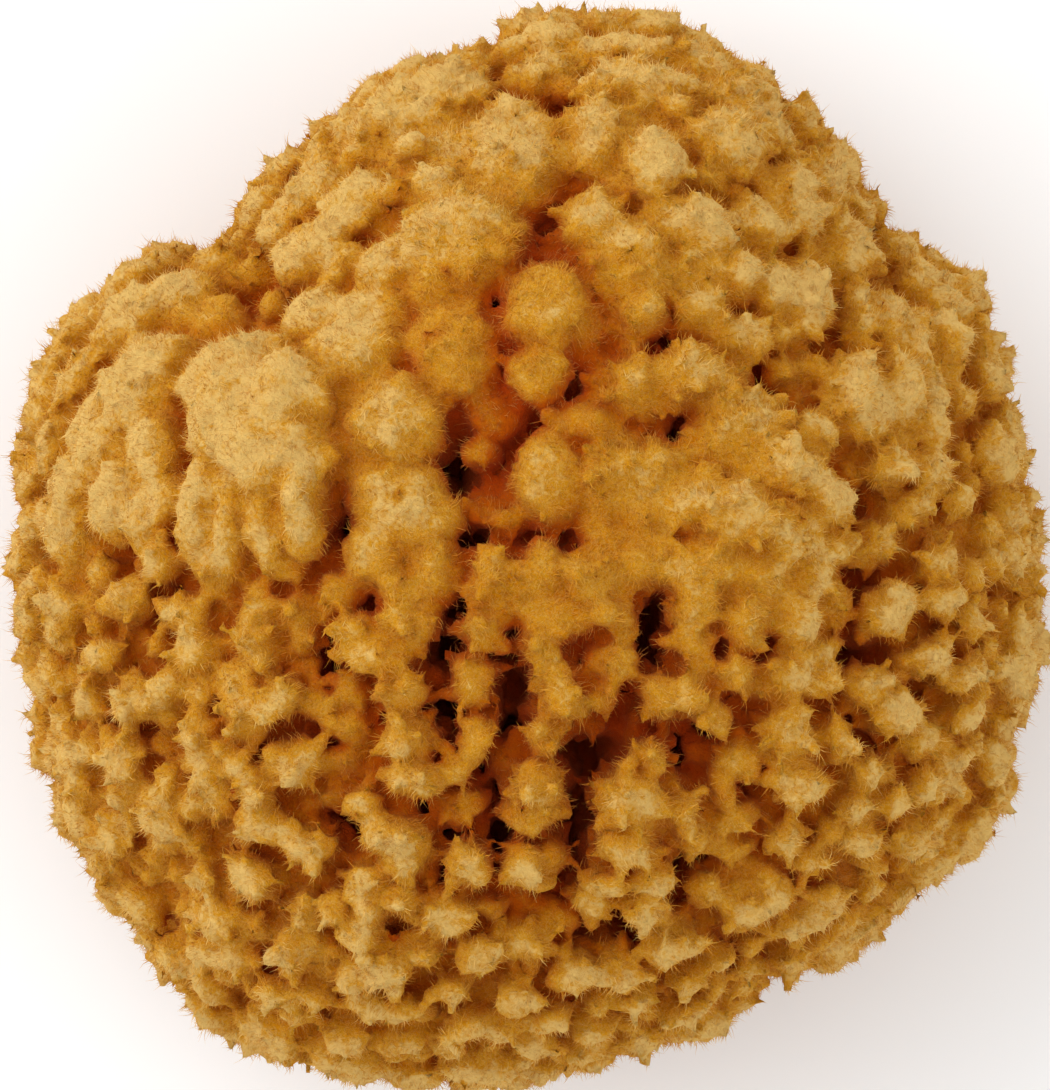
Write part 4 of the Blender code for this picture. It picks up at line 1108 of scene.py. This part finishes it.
def skin_material(colours):
    """Felted wool: mottled gold with pale threads on the tufts, and painted shade from orange to red brown
    where it is hollow.
    """
    shader = Shader("felted_wool")
    hollow = shader.named(HOLLOW_SHADE)
    flocks = flocks_of_wool(shader)
    patches = shader.noise(PATCH_SIZE, PATCH_DETAIL)
    wool = wool_colour(shader, colours, hollow, flocks, patches, PATCH_CONTRAST)
    threads = shader.noise(THREAD_SPACING, THREAD_DETAIL, THREAD_CURL)
    beside = shader.math("ABSOLUTE", shader.weigh(threads, THREAD_FINENESS, 0.0))
    on_thread = shader.math("SUBTRACT", 1.0, beside, clamped=True)
    pale = shader.math("MULTIPLY", on_thread, THREAD_PALENESS)
    away = shader.math("SUBTRACT", 1.0, shader.math("MULTIPLY", hollow, THREAD_FADE), clamped=True)
    lumps = shader.add("ShaderNodeBump", Height=flocks, Strength=FLUFF_STRENGTH,
                       Distance=FLUFF_DEPTH * METRES)
    felt = shader.noise(FELT_SIZE, FELT_DETAIL, FELT_CURL)
    grain = shader.add("ShaderNodeBump", Height=felt, Strength=FELT_STRENGTH, Distance=FELT_DEPTH * METRES,
                       Normal=lumps)
    shader.feed(shader.surface["Normal"], grain)
    return finish_wool(shader, colours, wool, shader.math("MULTIPLY", pale, away))


def fibre_material(colours):
    """Single fibres: like the wool that they grow from, with the same painted shade of its hollows, and paler
    towards the tip.
    """
    shader = Shader("wool_fibre")
    flocks = flocks_of_wool(shader)
    wool = wool_colour(shader, colours, shader.named(HOLLOW_SHADE), flocks, shader.named(TONE), TONE_CONTRAST)
    return finish_wool(shader, colours, wool, shader.math("MULTIPLY", shader.named(ALONG), TIP_PALENESS))


def skin_object():
    skin = bpy.data.objects.get(SKIN)
    if skin is None:
        raise RuntimeError("grow the wool skin before its fibres")
    return skin


def shown_area(mesh):
    """The area of the skin that carries fibres, in square metres."""
    areas = np.empty(len(mesh.polygons), np.float32)
    mesh.polygons.foreach_get("area", areas)
    shown = np.empty(len(mesh.vertices), np.float32)
    mesh.attributes[SHOWN].data.foreach_get("value", shown)
    corners = np.empty(len(mesh.loops), np.int32)
    mesh.loops.foreach_get("vertex_index", corners)
    return float(np.sum(areas * shown[corners].reshape(-1, 3).mean(axis=1)))


def grow_fibres(name, tree, count, values):
    """One piece of fibres over the skin."""
    skin = skin_object()
    carrier = new_object(name + "_carrier", skin.data.copy())
    density = count / shown_area(skin.data)
    tree.add_to(carrier, {"Density": density, **values})
    mesh = plain_mesh(carrier)
    piece = new_object(name, mesh)
    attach(piece, "root")


def grow_pieces(context, kind, pieces, stretches, seed, habit):
    """All the pieces of one kind of fibre, fuzz or fringe."""
    fibres = context.scene.sponge_fibres
    length, thickness, count = [getattr(fibres, kind + part) for part in ("_length", "_thickness", "_count")]
    wool = fibre_material(context.scene.sponge_colours)
    tree = fibre_tree(kind, stretches)
    for number in range(pieces):
        grow_fibres(f"wool_{kind}_{number + 1}", tree, count, {
            "Length": length, "Thickness": thickness, "Seed": seed + number, "Wool": wool, **habit,
        })


class SPONGE_OT_wool_skin(bpy.types.Operator):
    """Grow the knobbly skin of tufts, lobes, furrows and pits"""
    bl_idname = "sponge.wool_skin"
    bl_label = "Wool Skin"

    def execute(self, context):
        mesh = grow_skin(context.scene.sponge_shape)
        mark_hollows(mesh)
        mesh.name = SKIN
        mesh.materials.clear()
        mesh.materials.append(skin_material(context.scene.sponge_colours))
        skin = new_object(SKIN, mesh)
        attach(skin, "root")
        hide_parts(SPONGE_NODE)
        return {"FINISHED"}


class SPONGE_OT_fuzz(bpy.types.Operator):
    """Grow the short fuzz that covers the tufts"""
    bl_idname = "sponge.fuzz"
    bl_label = "Fuzz"

    def execute(self, context):
        grow_pieces(context, "fuzz", FUZZ_PIECES, FUZZ_STRETCHES, SEED, FUZZ_HABIT)
        return {"FINISHED"}


class SPONGE_OT_fringe(bpy.types.Operator):
    """Grow the longer bent fibres that fringe the tufts"""
    bl_idname = "sponge.fringe"
    bl_label = "Fringe"

    def execute(self, context):
        grow_pieces(context, "fringe", FRINGE_PIECES, FRINGE_STRETCHES, FRINGE_SEED, FRINGE_HABIT)
        return {"FINISHED"}


def add_light(name, power, size, place, aim):
    """A large soft square light at a place, turned to what it lights."""
    lamp = bpy.data.lights.new(name, "AREA")
    lamp.energy = power
    lamp.size = size
    light = new_object(name, lamp)
    light.location = place
    light.rotation_euler = (Vector(place) - Vector(aim)).to_track_quat("Z", "Y").to_euler()


class SPONGE_OT_studio(bpy.types.Operator):
    """Lay the floor, set the lights and look straight down on the crown"""
    bl_idname = "sponge.studio"
    bl_label = "Studio"

    def execute(self, context):
        studio = context.scene.sponge_studio
        floor_mesh = bpy.data.meshes.new("floor")
        half = 0.5 * FLOOR_SIZE
        corners = [(-half, -half, 0.0), (half, -half, 0.0), (half, half, 0.0), (-half, half, 0.0)]
        floor_mesh.from_pydata(corners, [], [(0, 1, 2, 3)])
        floor = new_object("floor", floor_mesh)
        paper = bpy.data.materials.new("paper")
        paper.use_nodes = True
        surface = paper.node_tree.nodes["Principled BSDF"]
        surface.inputs["Base Color"].default_value = (*studio.floor_colour, 1.0)
        surface.inputs["Roughness"].default_value = PAPER_ROUGHNESS
        surface.inputs["Specular IOR Level"].default_value = 0.0
        floor_mesh.materials.append(paper)
        world = bpy.data.worlds.new("sky")
        world.use_nodes = True
        background = world.node_tree.nodes["Background"]
        background.inputs["Color"].default_value = SKY_COLOUR
        background.inputs["Strength"].default_value = studio.sky
        context.scene.world = world
        aim = (0.0, 0.0, WIDEST_LEVEL * METRES)
        add_light("key", studio.key_power, KEY_SIZE, KEY_PLACE, aim)
        add_light("fill", studio.fill_power, FILL_LIGHT_SIZE, FILL_LIGHT_PLACE, aim)
        lens = bpy.data.cameras.new("camera")
        lens.sensor_width = SENSOR
        lens.lens = SENSOR * CAMERA_DISTANCE / (PICTURE_HEIGHT * MM_PER_PIXEL)
        camera = new_object("camera", lens)
        camera.location = (0.0, 0.0, (WIDEST_LEVEL + CAMERA_DISTANCE) * METRES)
        context.scene.camera = camera
        context.scene.view_settings.view_transform = "Standard"
        return {"FINISHED"}


class SPONGE_PT_panel(bpy.types.Panel):
    """Sizes, colours and steps of the wool sponge"""
    bl_idname = "SPONGE_PT_panel"
    bl_label = "Wool Sponge"
    bl_space_type = "VIEW_3D"
    bl_region_type = "UI"
    bl_category = "Sponge"

    def draw(self, context):
        for group_name, step in PANEL_ROWS:
            box = self.layout.box()
            group = getattr(context.scene, group_name)
            for name in group.__annotations__:
                box.prop(group, name)
            for operator in step:
                box.operator(operator.bl_idname)


PANEL_ROWS = (
    ("sponge_shape", (SPONGE_OT_wool_skin,)),
    ("sponge_fibres", (SPONGE_OT_fuzz, SPONGE_OT_fringe)),
    ("sponge_colours", ()),
    ("sponge_studio", (SPONGE_OT_studio,)),
)
GROUPS = {
    "sponge_shape": SpongeShape, "sponge_fibres": SpongeFibres, "sponge_colours": SpongeColours,
    "sponge_studio": SpongeStudio,
}
OPERATORS = (SPONGE_OT_wool_skin, SPONGE_OT_fuzz, SPONGE_OT_fringe, SPONGE_OT_studio)
CLASSES = (*GROUPS.values(), *OPERATORS, SPONGE_PT_panel)


def register():
    for made in CLASSES:
        bpy.utils.register_class(made)
    for name, group in GROUPS.items():
        setattr(bpy.types.Scene, name, PointerProperty(type=group))


def unregister():
    for name in GROUPS:
        delattr(bpy.types.Scene, name)
    for made in reversed(CLASSES):
        bpy.utils.unregister_class(made)


def main():
    register()
    bpy.ops.sponge.studio()
    bpy.ops.sponge.wool_skin()
    bpy.ops.sponge.fuzz()
    bpy.ops.sponge.fringe()


if __name__ == "__main__":
    main()
